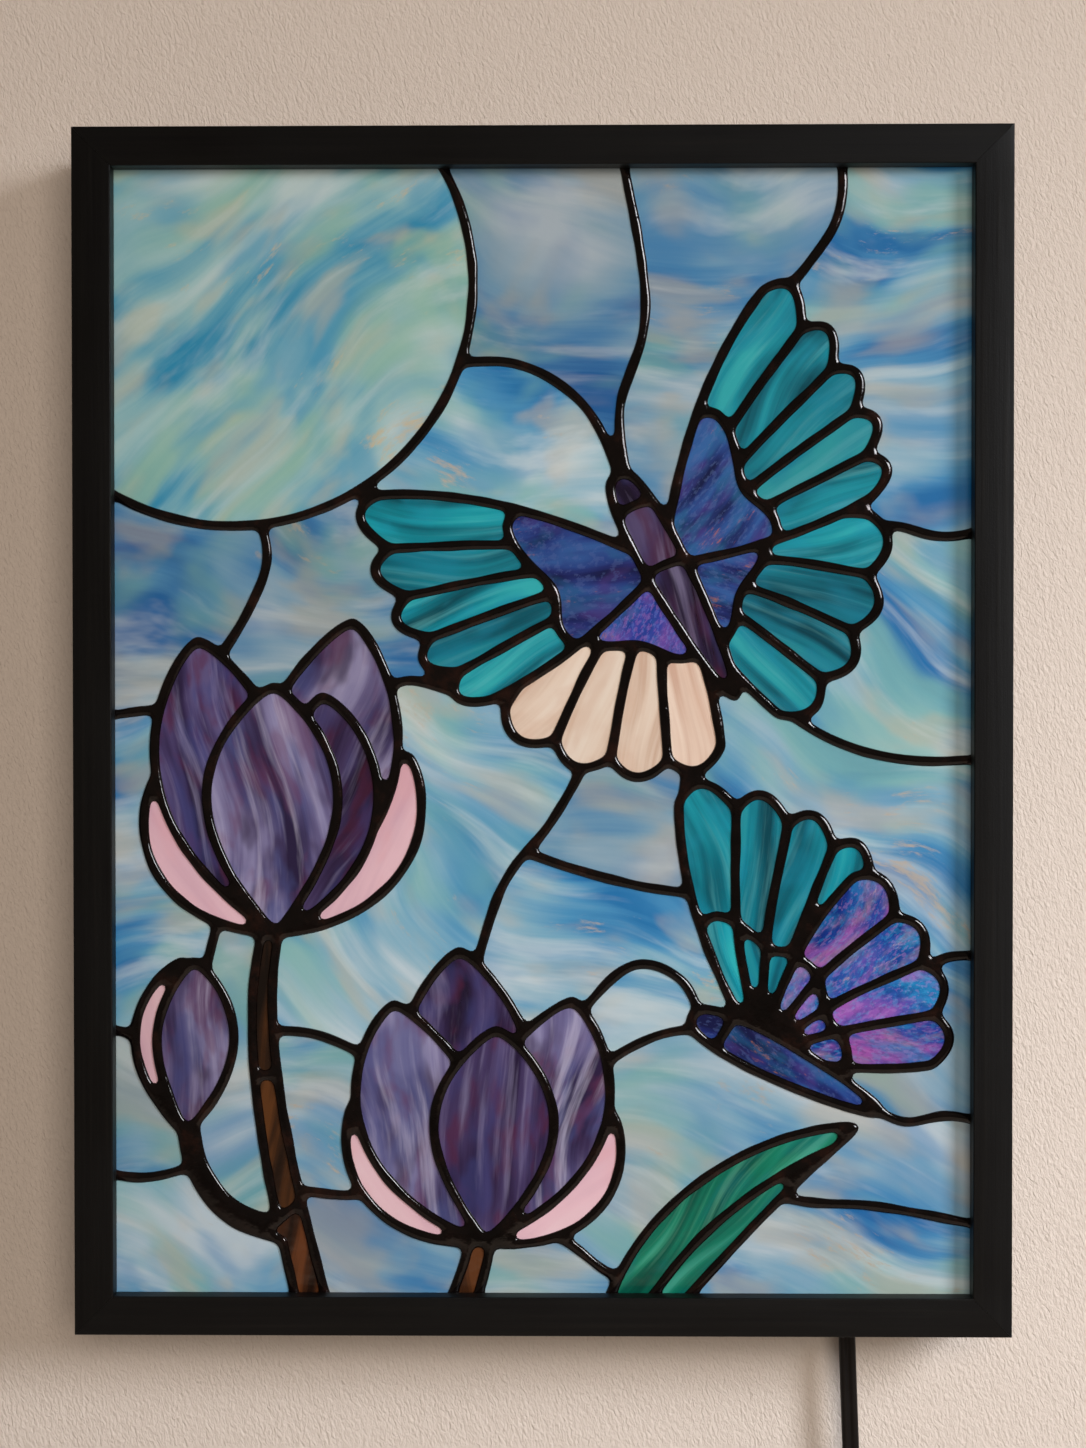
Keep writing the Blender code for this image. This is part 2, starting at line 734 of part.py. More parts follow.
def panel(group):
    """The pieces of glass and the lattice of solder lines that holds them."""
    colors = {
        "sky": (0.27, 0.46, 0.62),
        "disc": (0.35, 0.50, 0.52),
        "teal": (0.02, 0.26, 0.28),
        "cobalt": (0.012, 0.05, 0.30),
        "violet_blue": (0.07, 0.05, 0.30),
        "mottled": (0.16, 0.08, 0.42),
        "cream": (0.66, 0.48, 0.34),
        "violet": (0.12, 0.08, 0.19),
        "plum": (0.05, 0.02, 0.08),
        "pink": (0.62, 0.30, 0.38),
        "stem": (0.05, 0.018, 0.008),
        "emerald": (0.01, 0.20, 0.14),
    }
    looks = {name: material(name + "_glass", color, 0.25) for name, color in colors.items()}
    middle = (0.0, PANEL_MIDDLE, FRAME_MIDDLE)
    holes = []
    for name, (glass, loop) in glass_regions().items():
        holes.append(opening(loop))
        plate(name + "_glass", [moved(holes[-1], FOIL_GAP)], GLASS, looks[glass], group, middle)
    patina = material("black_patina_solder", (0.009, 0.007, 0.006), 0.35, metallic=0.8)
    outline = rectangle(PANEL_WIDTH, PANEL_HEIGHT)
    pierced_plate("solder_lattice", outline, holes, PANEL_THICKNESS, patina, group, middle)


def back(group, cutters):
    """The board that closes the box, the saw-tooth hanger on it and the two bumpers below."""
    board = material("black_backing_board", (0.015, 0.014, 0.013), 0.8)
    steel = material("zinc_plated_steel", (0.55, 0.55, 0.52), 0.35, metallic=1.0)
    rubber = material("black_rubber", (0.012, 0.012, 0.012), 0.7)
    box(
        "back_board",
        (FRAME_WIDTH - 2 * BACK_MARGIN, BACK_BOARD, FRAME_HEIGHT - 2 * BACK_MARGIN),
        board,
        group,
        (0.0, BOARD_REAR - BACK_BOARD / 2, FRAME_MIDDLE),
    )
    half = HANGER_WIDTH / 2
    foot = half - HANGER_FOOT
    crown = foot - HANGER_RISE
    outer = [(-half, 1), (-foot, 1), (-crown, 0), (crown, 0), (foot, 1), (half, 1)]
    low = -HANGER_STANDOFF
    profile = [(x, low * side + (HANGER_STEEL if side else 0.0)) for x, side in outer]
    profile += [(x, low if side else -HANGER_STEEL) for x, side in reversed(outer)]
    hanger = plate("hanger", [profile], HANGER_HEIGHT, steel, group, (0, 0, 0), rotation=(0, 0, 0))
    pitch = 2 * crown / HANGER_TEETH
    edge = -HANGER_HEIGHT / 2
    teeth = [(crown, edge - TOOTH_DEPTH), (-crown, edge - TOOTH_DEPTH)]
    for i in range(HANGER_TEETH):
        left = -crown + i * pitch
        teeth += [(left + pitch * 0.1, edge), (left + pitch / 2, edge + TOOTH_DEPTH), (left + pitch * 0.9, edge)]
    cutter = plate("hanger_teeth", [teeth], 4 * HANGER_STEEL, None, cutters, (0.0, -HANGER_STEEL, 0.0))
    solid = as_mesh(hanger, group)
    cut(solid, as_mesh(cutter, cutters))
    for side, name in ((-1, "left"), (1, "right")):
        place = (side * (FRAME_WIDTH / 2 - BUMPER_INSET), -HANGER_STANDOFF / 2, FRAME_BOTTOM + BUMPER_INSET)
        bumper = cylinder(
            f"bumper_{name}",
            BUMPER_DIAMETER / 2,
            HANGER_STANDOFF,
            rubber,
            group,
            location=place,
            rotation=(math.pi / 2, 0, 0),
            sides=24,
        )
        bumper.data.shade_smooth()


def as_mesh(item, group):
    """The curve object as a welded mesh object of the same name and place."""
    name, look = item.name, item.data.materials[0] if item.data.materials else None
    bpy.context.view_layer.update()
    evaluated = item.evaluated_get(bpy.context.evaluated_depsgraph_get())
    mesh = bpy.data.meshes.new_from_object(evaluated)
    shape = bmesh.new()
    shape.from_mesh(mesh)
    bmesh.ops.remove_doubles(shape, verts=shape.verts, dist=0.00001)
    shape.to_mesh(mesh)
    shape.free()
    place = item.matrix_world.copy()
    bpy.data.objects.remove(item)
    made = add(name, mesh, None, group)
    if look:
        mesh.materials.clear()
        mesh.materials.append(look)
    made.matrix_world = place
    return made


def tube(name, stations, look, group):
    """A round cord along a smooth curve through the stations, with a point every two and a half widths."""
    fine = smooth(*stations)
    lengths = [0.0]
    for a, b in zip(fine, fine[1:]):
        lengths.append(lengths[-1] + (b - a).length)
    count = max(3, round(lengths[-1] / (2.5 * CORD_WIDTH)) + 1)
    points = []
    k = 0
    for i in range(count):
        reach = lengths[-1] * i / (count - 1)
        while k < len(fine) - 2 and lengths[k + 1] < reach:
            k += 1
        share = (reach - lengths[k]) / (lengths[k + 1] - lengths[k])
        points.append(fine[k].lerp(fine[k + 1], share))
    curve = bpy.data.curves.new(name, "CURVE")
    curve.dimensions = "3D"
    curve.bevel_depth = CORD_RADIUS
    curve.bevel_resolution = 3
    curve.use_fill_caps = True
    spline = curve.splines.new("POLY")
    spline.points.add(len(points) - 1)
    for point, spot in zip(spline.points, points):
        point.co = (*spot, 1.0)
    return add(name, curve, look, group)


def grommet(look, group):
    """A rubber grommet through the bottom rail, with a flange on each side of the wood."""
    flange = GROMMET_FLANGE_RADIUS
    low, high = -SEAT_GAP, RAIL_FACE + SEAT_GAP
    profile = [
        (flange, high + GROMMET_FLANGE),
        (flange, high),
        (GROMMET_RADIUS, high),
        (GROMMET_RADIUS, low),
        (flange, low),
        (flange, low - GROMMET_FLANGE),
        (CORD_HOLE, low - GROMMET_FLANGE),
        (CORD_HOLE, high + GROMMET_FLANGE),
    ]
    turned("cord_grommet", profile, look, group, (CORD_X, -CORD_FROM_WALL, FRAME_BOTTOM), sides=20)


def cord(group):
    """The cord: down through the grommet, into a coil tied with a strap, and on to the plug."""
    rubber = material("black_cord_sheath", (0.008, 0.008, 0.008), 0.45)
    grommet(rubber, group)
    meets = math.sqrt(COIL_OUTSIDE**2 - (COIL_OUTER_TURN - CORD_RADIUS) ** 2) + SEAT_GAP
    layer = CORD_RADIUS * (COIL_LAYERS - 1)
    exit_x, exit_y = CORD_X, -CORD_FROM_WALL
    enter_x, enter_y = COIL_MIDDLE.x + COIL_OUTER_TURN, COIL_MIDDLE.y - layer
    top = FRAME_BOTTOM + RAIL_FACE + GROMMET_FLANGE + CORD_STUB
    enter_z = COIL_MIDDLE.z + meets
    under = FRAME_BOTTOM - GROMMET_FLANGE - CORD_WIDTH
    tube(
        "cord",
        [
            (exit_x, exit_y, top),
            (exit_x, exit_y, FRAME_BOTTOM),
            (exit_x, exit_y, under),
            ((exit_x + enter_x) / 2, (exit_y + enter_y) / 2, (under + enter_z) / 2),
            (enter_x, enter_y, enter_z + CORD_WIDTH),
            (enter_x, enter_y, enter_z),
        ],
        rubber,
        group,
    )
    half_axial, inside = COIL_AXIAL / 2, COIL_OUTSIDE - COIL_RADIAL
    ring = [
        (COIL_OUTSIDE, half_axial),
        (COIL_OUTSIDE, -half_axial),
        (inside, -half_axial),
        (inside, half_axial),
    ]
    coil = turned("cord_coil", ring, rubber, group, COIL_MIDDLE, sides=36)
    coil.rotation_euler = (math.pi / 2, 0.0, 0.0)
    tail_y = COIL_MIDDLE.y + layer
    tail_top, tail_end = COIL_MIDDLE.z - meets, COIL_MIDDLE.z - TAIL
    tube(
        "cord_tail",
        [
            (enter_x, tail_y, tail_top),
            (enter_x, -PLUG_FROM_WALL, (tail_top + tail_end) / 2),
            (enter_x, -PLUG_FROM_WALL, tail_end + SEAT_GAP),
        ],
        rubber,
        group,
    )
    tie(group)
    plug(rubber, Vector((enter_x, -PLUG_FROM_WALL, tail_end)), group)


def tie(group):
    """The strap that holds the turns together, at the coil's left side."""
    strap = material("black_tie_strap", (0.01, 0.01, 0.01), 0.6)
    loops = [
        rectangle(COIL_RADIAL + 2 * margin, COIL_AXIAL + 2 * margin)
        for margin in (CORD_CLEARANCE + TIE_STRAP, CORD_CLEARANCE)
    ]
    place = COIL_MIDDLE - Vector((COIL_DIAMETER / 2, 0.0, 0.0))
    plate("cord_tie", loops, TIE_WIDTH, strap, group, place, rotation=(0.0, 0.0, 0.0))


def plug(look, top, group):
    """A moulded two-blade plug below the point where the cord enters it."""
    half, neck = PLUG_WIDTH / 2, PLUG_NECK / 2
    shoulder = PLUG_LENGTH * 0.3
    outline = [(-neck, 0.0), (-half, -shoulder), (-half, -PLUG_LENGTH), (half, -PLUG_LENGTH), (half, -shoulder)]
    outline.append((neck, 0.0))
    body = as_mesh(plate("plug_body", [outline], PLUG_THICKNESS, look, group, top), group)
    ease(body, PLUG_EDGE)
    brass = material("nickel_plated_brass", (0.6, 0.58, 0.52), 0.25, metallic=1.0)
    for side, name in ((-1, "left"), (1, "right")):
        box(
            f"plug_blade_{name}",
            (BLADE_THICKNESS, BLADE_WIDTH, BLADE_LENGTH),
            brass,
            group,
            top
            + Vector((side * BLADE_SPACING / 2, 0.0, -PLUG_LENGTH - SEAT_GAP - BLADE_LENGTH / 2)),
        )


parts, guides = start_scene()
frame(parts, guides)
panel(parts)
back(parts, guides)
cord(parts)
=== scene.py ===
# %% [markdown]
# # A stained glass light box
# The real object is a shallow black wooden box that hangs on a wall. Its front is a picture of about seventy
# pieces of coloured glass, held in a web of solder. The box's solids come from a CAD model, and this file
# dresses them: each cell makes one piece or one finish, and says how and why.
# The wall is the plane y = 0, the picture faces -Y, +X is to the viewer's right and +Z is up, in metres.

# %% Load the solids and keep their box
import math

import bmesh
import bpy
import numpy as np
from mathutils import Matrix, Vector, kdtree, noise
from mathutils.geometry import delaunay_2d_cdt


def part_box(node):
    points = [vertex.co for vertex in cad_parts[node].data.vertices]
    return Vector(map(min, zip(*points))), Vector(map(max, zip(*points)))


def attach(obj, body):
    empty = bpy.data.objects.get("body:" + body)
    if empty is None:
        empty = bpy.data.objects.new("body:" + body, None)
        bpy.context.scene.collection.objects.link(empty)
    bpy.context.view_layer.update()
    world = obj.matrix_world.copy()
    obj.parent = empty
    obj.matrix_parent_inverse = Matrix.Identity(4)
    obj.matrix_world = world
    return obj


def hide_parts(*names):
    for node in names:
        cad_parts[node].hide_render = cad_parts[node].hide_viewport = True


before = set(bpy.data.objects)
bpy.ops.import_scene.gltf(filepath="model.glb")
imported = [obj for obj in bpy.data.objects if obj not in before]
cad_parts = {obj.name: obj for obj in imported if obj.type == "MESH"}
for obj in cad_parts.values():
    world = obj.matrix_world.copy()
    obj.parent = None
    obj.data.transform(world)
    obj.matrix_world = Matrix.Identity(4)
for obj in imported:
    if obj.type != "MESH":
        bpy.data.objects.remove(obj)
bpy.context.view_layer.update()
MM = 0.001

# %% [markdown]
# Sizes that every later cell shares are read from the solids, so nothing here can drift away from them.

# %% The places that the solids give
rail_low, rail_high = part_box("frame_rail_left")
OUTSIDE, FRAME_BOTTOM, FRAME_TOP = -rail_low.x, rail_low.z, rail_high.z
RAIL_FACE = rail_high.x - rail_low.x
RAIL_FRONT, RAIL_REAR = rail_low.y, rail_high.y
FRAME_MIDDLE = (FRAME_TOP + FRAME_BOTTOM) / 2
lattice_low, lattice_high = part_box("solder_lattice")
PANEL_MIDDLE = (lattice_low.y + lattice_high.y) / 2
PANEL_WIDTH, PANEL_HEIGHT = lattice_high.x - lattice_low.x, lattice_high.z - lattice_low.z
glass_low, glass_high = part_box("disc_glass")
GLASS = glass_high.y - glass_low.y
SOLDER_PROUD = glass_low.y - lattice_low.y
BOARD_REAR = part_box("back_board")[1].y
print(f"glass {GLASS / MM:.1f} mm, solder {SOLDER_PROUD / MM:.1f} mm proud")
print(f"panel {PANEL_WIDTH:.3f} x {PANEL_HEIGHT:.3f} m")

# %% [markdown]
# ## Camera
# The photograph looks almost straight at the picture from about 0.8 m, with a long lens. The place and the
# turn below were worked out from the corners of the frame. Blender's sensor width belongs to the long side
# of the image, which is the height here.

# %% The camera


def placed(name, data):
    """A new object in the scene, at the origin."""
    made = bpy.data.objects.new(name, data)
    bpy.context.scene.collection.objects.link(made)
    return made


camera = placed("camera", bpy.data.cameras.new("camera"))
bpy.context.scene.camera = camera
camera.data.lens = 57.6
camera.data.sensor_width = 36.0
camera.location = (0.0103, -0.8445, -0.1736)
camera.rotation_euler = (math.pi / 2 - 0.0136, 0.0004, 0.0124)

# %% [markdown]
# ## Helpers for materials
# Colours are written as the hex codes that a paint program shows, and one function turns them into the
# linear numbers that a shader works with. One function adds a node: its properties are given by name, and
# each input is a plain value or another node's output. Most materials end alike, with a colour, a roughness
# and a fine relief, so a last function wires those three.

# %% Colour and node helpers


def linear(code):
    """A hex colour such as #c9bcae as linear red, green, blue and alpha."""
    parts = [int(code[i : i + 2], 16) / 255 for i in (1, 3, 5)]
    return (*(p / 12.92 if p <= 0.04045 else ((p + 0.055) / 1.055) ** 2.4 for p in parts), 1.0)


def add_node(tree, kind, inputs=None, ramp=None, **settings):
    """Adds one node; an input is a value or another node's output; a ramp is a list of (place, hex)."""
    made = tree.nodes.new(kind)
    for name, value in settings.items():
        setattr(made, name, value)
    for socket, value in (inputs or {}).items():
        if isinstance(value, bpy.types.NodeSocket):
            tree.links.new(value, made.inputs[socket])
        else:
            made.inputs[socket].default_value = value
    if ramp:
        stops = made.color_ramp.elements
        while len(stops) < len(ramp):
            stops.new(0.5)
        for stop, (place, code) in zip(stops, ramp):
            stop.position, stop.color = place, linear(code)
    return made


def new_material(name, **plain):
    """A material, its node tree and its Principled shader, with the plain inputs set."""
    made = bpy.data.materials.new(name)
    made.use_nodes = True
    shader = made.node_tree.nodes["Principled BSDF"]
    for socket, value in plain.items():
        shader.inputs[socket.replace("_", " ")].default_value = value
    return made, made.node_tree, shader


def finish(tree, shader, paint, sheen, gloss, relief=None, span=(0.0, 1.0)):
    """Wires in a colour, a roughness and a fine relief.

    paint is a colour's output; the roughness goes between gloss's two values as sheen crosses its span;
    relief is (height, strength, depth in metres).
    """
    sweep = {"Value": sheen, 1: span[0], 2: span[1], 3: gloss[0], 4: gloss[1]}
    rough = add_node(tree, "ShaderNodeMapRange", sweep).outputs[0]
    tree.links.new(paint, shader.inputs["Base Color"])
    tree.links.new(rough, shader.inputs["Roughness"])
    if relief:
        bump = add_node(tree, "ShaderNodeBump", dict(zip(("Height", "Strength", "Distance"), relief)))
        tree.links.new(bump.outputs["Normal"], shader.inputs["Normal"])


# %% [markdown]
# ## Helpers for meshes
# Most pieces are flat shapes with a thickness, turned shapes, or a section carried along a line. Each helper
# gives points and faces, and `piece` makes one object of them, at the origin, with its place in its mesh.

# %% Mesh helpers
MERGE = 1e-8  # points of an outline closer than this are one point


def piece(name, points, faces, material, smooth=True, vectors=None, numbers=None):
    """A mesh object; vectors and numbers are attributes of its points, by name."""
    mesh = bpy.data.meshes.new(name)
    mesh.from_pydata([tuple(p) for p in points], [], [tuple(f) for f in faces])
    mesh.materials.append(material)
    for label, values in (vectors or {}).items():
        mesh.attributes.new(label, "FLOAT_VECTOR", "POINT").data.foreach_set("vector", np.ravel(values))
    for label, values in (numbers or {}).items():
        mesh.attributes.new(label, "FLOAT", "POINT").data.foreach_set("value", np.ravel(values))
    shape = bmesh.new()
    shape.from_mesh(mesh)
    bmesh.ops.recalc_face_normals(shape, faces=shape.faces)
    shape.to_mesh(mesh)
    shape.free()
    mesh.shade_smooth() if smooth else mesh.shade_flat()
    return placed(name, mesh)


def settled(item):
    """The object with its modifiers worked into a plain mesh."""
    bpy.context.view_layer.update()
    mesh = bpy.data.meshes.new_from_object(item.evaluated_get(bpy.context.evaluated_depsgraph_get()))
    item.modifiers.clear()
    item.data = mesh
    mesh.name = item.name
    return item


def eased(item, width, segments=3, angle=35.0):
    """Rounds the sharp edges and keeps the flats flat."""
    bevel = item.modifiers.new("eased edges", "BEVEL")
    bevel.width, bevel.segments, bevel.angle_limit = width, segments, math.radians(angle)
    bevel.harden_normals = True
    return settled(item)


def stretches(loop):
    """Each point of a closed loop with the next one."""
    return zip(loop, loop[1:] + loop[:1])


def in_threes(loop):
    """Each point of a closed loop between the one before it and the one after it."""
    return zip(loop[-1:] + loop[:-1], loop, loop[1:] + loop[:1])


def closed_edges(start, count):
    """The edges of a closed loop whose points are numbered from start."""
    return [(start + i, start + (i + 1) % count) for i in range(count)]


def rim(triangles):
    """The sides that only one of the triangles has."""
    sides = {pair for triangle in triangles for pair in stretches(triangle)}
    return [(a, b) for a, b in sides if (b, a) not in sides]


def without_loose(points, faces):
    """The points that faces use, and the faces with their new numbers."""
    used = sorted({v for face in faces for v in face})
    number = {v: i for i, v in enumerate(used)}
    return [points[v] for v in used], [[number[v] for v in face] for face in faces]


def slab(loops, front, rear):
    """A plate in the XZ plane between two values of y, from an outline and its holes."""
    spots, faces = [], []
    for loop in loops:
        faces.append(list(range(len(spots), len(spots) + len(loop))))
        spots += [Vector(p) for p in loop]
    flat, _, triangles, _, _, covers = delaunay_2d_cdt(spots, [], faces, 0, MERGE, True)
    kept = [t for t, covering in zip(triangles, covers) if list(covering) == [0]]
    count = len(flat)
    points = [(p.x, y, p.y) for y in (front, rear) for p in flat]
    made = [list(t) for t in kept] + [[v + count for v in reversed(t)] for t in kept]
    made += [[b, a, a + count, b + count] for a, b in rim(kept)]
    return without_loose(points, made)


def lofted(rings, closed_ends=True):
    """Faces between rings of equally many points; the ends are closed with a fan."""
    count = len(rings[0])
    points = [Vector(p) for ring in rings for p in ring]
    faces = []
    for start in range(0, (len(rings) - 1) * count, count):
        faces += [(i, j, j + count, i + count) for i, j in closed_edges(start, count)]
    if closed_ends:
        for start, step in ((0, -1), ((len(rings) - 1) * count, 1)):
            middle = len(points)
            points.append(sum(points[start : start + count], Vector((0, 0, 0))) / count)
            faces += [(i, j, middle)[::step] for i, j in closed_edges(start, count)]
    return points, faces


# %% [markdown]
# ## The cord's route
# The real cord is a flat twin lead. It leaves the box straight down through a grommet, hangs, and below the
# picture's view it turns its flat side and is wound up. A hand-wound coil is rings side by side with a short
# step from each ring to the next, so that is what the route follows: four rings inward in the front layer,
# a step to the rear layer, four rings outward, and on down to the plug.

# %% The cord's route, from the box to the plug
# the cord leaves the box at (CORD_X, CORD_Y), and the turns of its coil lie TURN_PITCH apart
CORD_WIDTH, CORD_THICKNESS = 6.1 * MM, 3.0 * MM
CORD_X, CORD_Y = 0.109, -0.015
TURN_PITCH = CORD_THICKNESS + 0.2 * MM
COIL_ROUNDS = 4
coil_low, coil_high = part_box("cord_coil")
COIL_MIDDLE = (coil_low + coil_high) / 2
COIL_OUTER_TURN = (coil_high.z - coil_low.z) / 2 - TURN_PITCH / 2
LAYER = CORD_WIDTH / 2
POINTS_A_TURN = 72
STEP_FROM, STEP_LENGTH = 0.62, 0.14  # where in a turn the cord steps to the next ring, as shares of a turn
plug_low, plug_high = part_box("plug_body")
PLUG_TOP = Vector(((plug_low.x + plug_high.x) / 2, (plug_low.y + plug_high.y) / 2, plug_high.z))
CORD_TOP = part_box("cord")[1].z
grommet_low, grommet_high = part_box("cord_grommet")


def smooth(*stations, steps=12):
    """An open curve through all the stations, which are in the plane or in space."""
    spots = [Vector(s) for s in stations]
    spots = [2 * spots[0] - spots[1], *spots, 2 * spots[-1] - spots[-2]]
    points = []
    for a, b, c, d in zip(spots, spots[1:], spots[2:], spots[3:]):
        for i in range(steps):
            t = i / steps
            bend = (2 * a - 5 * b + 4 * c - d) * (t**2 / 2) + (3 * b - a - 3 * c + d) * (t**3 / 2)
            points.append(b + (c - a) * (t / 2) + bend)
    return [*points, spots[-2]]


def eased_step(share):
    """From 0 to 1 as the share does, easing in and out."""
    share = min(max(share, 0.0), 1.0)
    return share * share * (3 - 2 * share)


def coil_route():
    """Points round the coil with the direction out from its middle, from the right side clockwise."""
    route, rings = [], 2 * COIL_ROUNDS
    for k in range(rings * POINTS_A_TURN + 1):
        turn, share = divmod(k / POINTS_A_TURN, 1.0)
        ring = min(turn + eased_step((share - STEP_FROM) / STEP_LENGTH), rings - 1)
        inward = min(ring, COIL_ROUNDS - 1, rings - 1 - ring)
        layer = min(max(ring - (COIL_ROUNDS - 1), 0.0), 1.0)
        a = -2 * math.pi * share
        out = Vector((math.cos(a), 0.0, math.sin(a)))
        aside = Vector((0.0, LAYER * (2 * layer - 1), 0.0))
        route.append((COIL_MIDDLE + out * (COIL_OUTER_TURN - inward * TURN_PITCH) + aside, out))
    return route


coil = coil_route()
enter, leave = coil[0][0], coil[-1][0]
hang = smooth(
    (CORD_X, CORD_Y, CORD_TOP - 0.1 * MM),
    (CORD_X, CORD_Y, FRAME_BOTTOM),
    (CORD_X, CORD_Y, grommet_low.z - CORD_WIDTH),
    ((CORD_X + enter.x) / 2, (CORD_Y + enter.y) / 2, (grommet_low.z - CORD_WIDTH + enter.z) / 2 + 8 * MM),
    (enter.x, enter.y, enter.z + 22 * MM),
    (enter.x, enter.y, enter.z + 8 * MM),
    enter,
    steps=8,
)
tail = smooth(
    leave,
    (leave.x, leave.y, leave.z - 8 * MM),
    (leave.x, (leave.y + PLUG_TOP.y) / 2, (leave.z - 8 * MM + PLUG_TOP.z + 10 * MM) / 2),
    (leave.x, PLUG_TOP.y, PLUG_TOP.z + 10 * MM),
    (leave.x, PLUG_TOP.y, PLUG_TOP.z - 1 * MM),
    steps=6,
)
cord_path = [*hang[:-1], *(p for p, _ in coil), *tail[1:]]

# %% [markdown]
# ## The wall and the light
# The box hangs on a warm, finely rough wall, lit softly from the right. The wall and the floor are
# only a stage. Their rear side is clear, so the box can also be looked at from behind.

# %% The wall, the floor and the lamps


def stage_material(name, color):
    """A matt paint that is clear from its rear side."""
    made, tree, shader = new_material(name, Roughness=0.9)
    place = add_node(tree, "ShaderNodeTexCoord").outputs["Object"]
    # the plaster's short leaning strokes are about 0.9 mm wide and 2 mm long
    lean = {"Vector": place, "Angle": math.radians(17)}
    leaning = add_node(tree, "ShaderNodeVectorRotate", lean, rotation_type="Y_AXIS").outputs[0]
    finer = {0: leaning, 1: (1100.0, 1100.0, 500.0)}
    strokes = add_node(tree, "ShaderNodeVectorMath", finer, operation="MULTIPLY").outputs[0]
    fine = {"Vector": strokes, "Scale": 1.0, "Detail": 3.0, "Distortion": 0.6}
    grain = add_node(tree, "ShaderNodeTexNoise", fine).outputs["Fac"]
    patches = add_node(tree, "ShaderNodeTexNoise", {"Vector": place, "Scale": 2.2, "Detail": 2.0})
    tones = {0: patches.outputs["Fac"], 6: linear(color), 7: tuple(c * 0.93 for c in linear(color))}
    tone = add_node(tree, "ShaderNodeMix", tones, data_type="RGBA")
    bump = add_node(tree, "ShaderNodeBump", {"Height": grain, "Strength": 1.0, "Distance": 0.8 * MM})
    tree.links.new(tone.outputs[2], shader.inputs["Base Color"])
    tree.links.new(bump.outputs["Normal"], shader.inputs["Normal"])
    clear = add_node(tree, "ShaderNodeBsdfTransparent").outputs[0]
    side = add_node(tree, "ShaderNodeNewGeometry").outputs["Backfacing"]
    mixed = add_node(tree, "ShaderNodeMixShader", {0: side, 1: shader.outputs[0], 2: clear})
    output = next(n for n in tree.nodes if n.type == "OUTPUT_MATERIAL")
    tree.links.new(mixed.outputs[0], output.inputs["Surface"])
    return made


WALL_Y = 0.4 * MM  # a hair behind y = 0, so that no face lies in another
FLOOR_LEVEL, CEILING_LEVEL, REACH = -0.95, 3.0, 4.0
paint = stage_material("wall_paint", "#d7cbc2")
there, back = (-REACH, REACH), (REACH, -REACH)
for name, corners in (
    ("wall", [*((x, WALL_Y, FLOOR_LEVEL) for x in there), *((x, WALL_Y, CEILING_LEVEL) for x in back)]),
    ("floor", [*((x, -REACH, FLOOR_LEVEL) for x in there), *((x, WALL_Y, FLOOR_LEVEL) for x in back)]),
):
    mesh = bpy.data.meshes.new(name)
    mesh.from_pydata(corners, [], [(0, 1, 2, 3)])
    mesh.materials.append(paint)
    sheet = placed(name, mesh)
    # the stage neither keeps the rear lamp's light from the box nor throws light back on it
    sheet.visible_shadow = sheet.visible_diffuse = False

# a small cool key from the right, the warm light of the room, and a lamp for looking at the rear: each with
# its place, what it faces, its size, its spread in degrees, its watts and its colour
for name, place, aim, size, spread, power, color in (
    ("key", (1.2, -1.2, 0.3), (0.15, 0.0, -0.54), 0.6, 60, 3.8, "#f6faff"),
    ("room", (0.3, -1.9, 0.1), (0.0, 0.0, -0.4), 0.9, 180, 20.2, "#fff1e1"),
    ("rear", (0.9, 1.3, 0.7), (0.0, 0.0, -0.2), 1.0, 180, 26.0, "#f4f1ec"),
):
    lamp = bpy.data.lights.new(name, "AREA")
    lamp.energy, lamp.size, lamp.color = power, size, linear(color)[:3]
    lamp.spread = math.radians(spread)
    holder = placed(name, lamp)
    # light from all round a room has no sharp edge to reflect, so its lamp isn't seen in the glass
    holder.visible_glossy = name != "room"
    holder.location = place
    holder.rotation_euler = (Vector(aim) - Vector(place)).to_track_quat("-Z", "Y").to_euler()

world = bpy.context.scene.world or bpy.data.worlds.new("room")
bpy.context.scene.world = world
world.use_nodes = True
background = world.node_tree.nodes["Background"]
background.inputs["Color"].default_value = linear("#f3dcc6")
background.inputs["Strength"].default_value = 0.14
bpy.context.scene.view_settings.view_transform = "Standard"

# %% [markdown]
# ## The drawing
# A glazier starts from a drawing in which every line is a joint between two pieces of glass. Here the
# drawing is made of closed shapes laid over each other, and of open lines that split them further. All
# curves come from a few rules: a petal, a stem, and a wing that fans out from its root with round lobes.
# Sizes are in the drawing's own millimetres, from the middle of the panel.

# %% Rules for the curves of the drawing


def toward(heading):
    """The unit vector of a heading in degrees, anticlockwise from the right."""
    return Vector((math.cos(math.radians(heading)), math.sin(math.radians(heading))))


def rectangle(width, height):
    """A rectangle about the middle."""
    return [Vector((x * width / 2, y * height / 2)) for x, y in ((-1, -1), (1, -1), (1, 1), (-1, 1))]


def bezier(start, pull, end, steps=24):
    """A curve from start to end that leans towards pull, without its last point."""
    shares = [i / steps for i in range(steps)]
    return [(1 - t) ** 2 * start + 2 * t * (1 - t) * pull + t**2 * end for t in shares]


def ellipse(middle, heading, length, width, steps=200):
    """An ellipse whose length lies along the heading."""
    along, across = toward(heading) * length / 2, toward(heading + 90) * width / 2
    turns = [2 * math.pi * i / steps for i in range(steps)]
    return [Vector(middle) + along * math.cos(a) + across * math.sin(a) for a in turns]


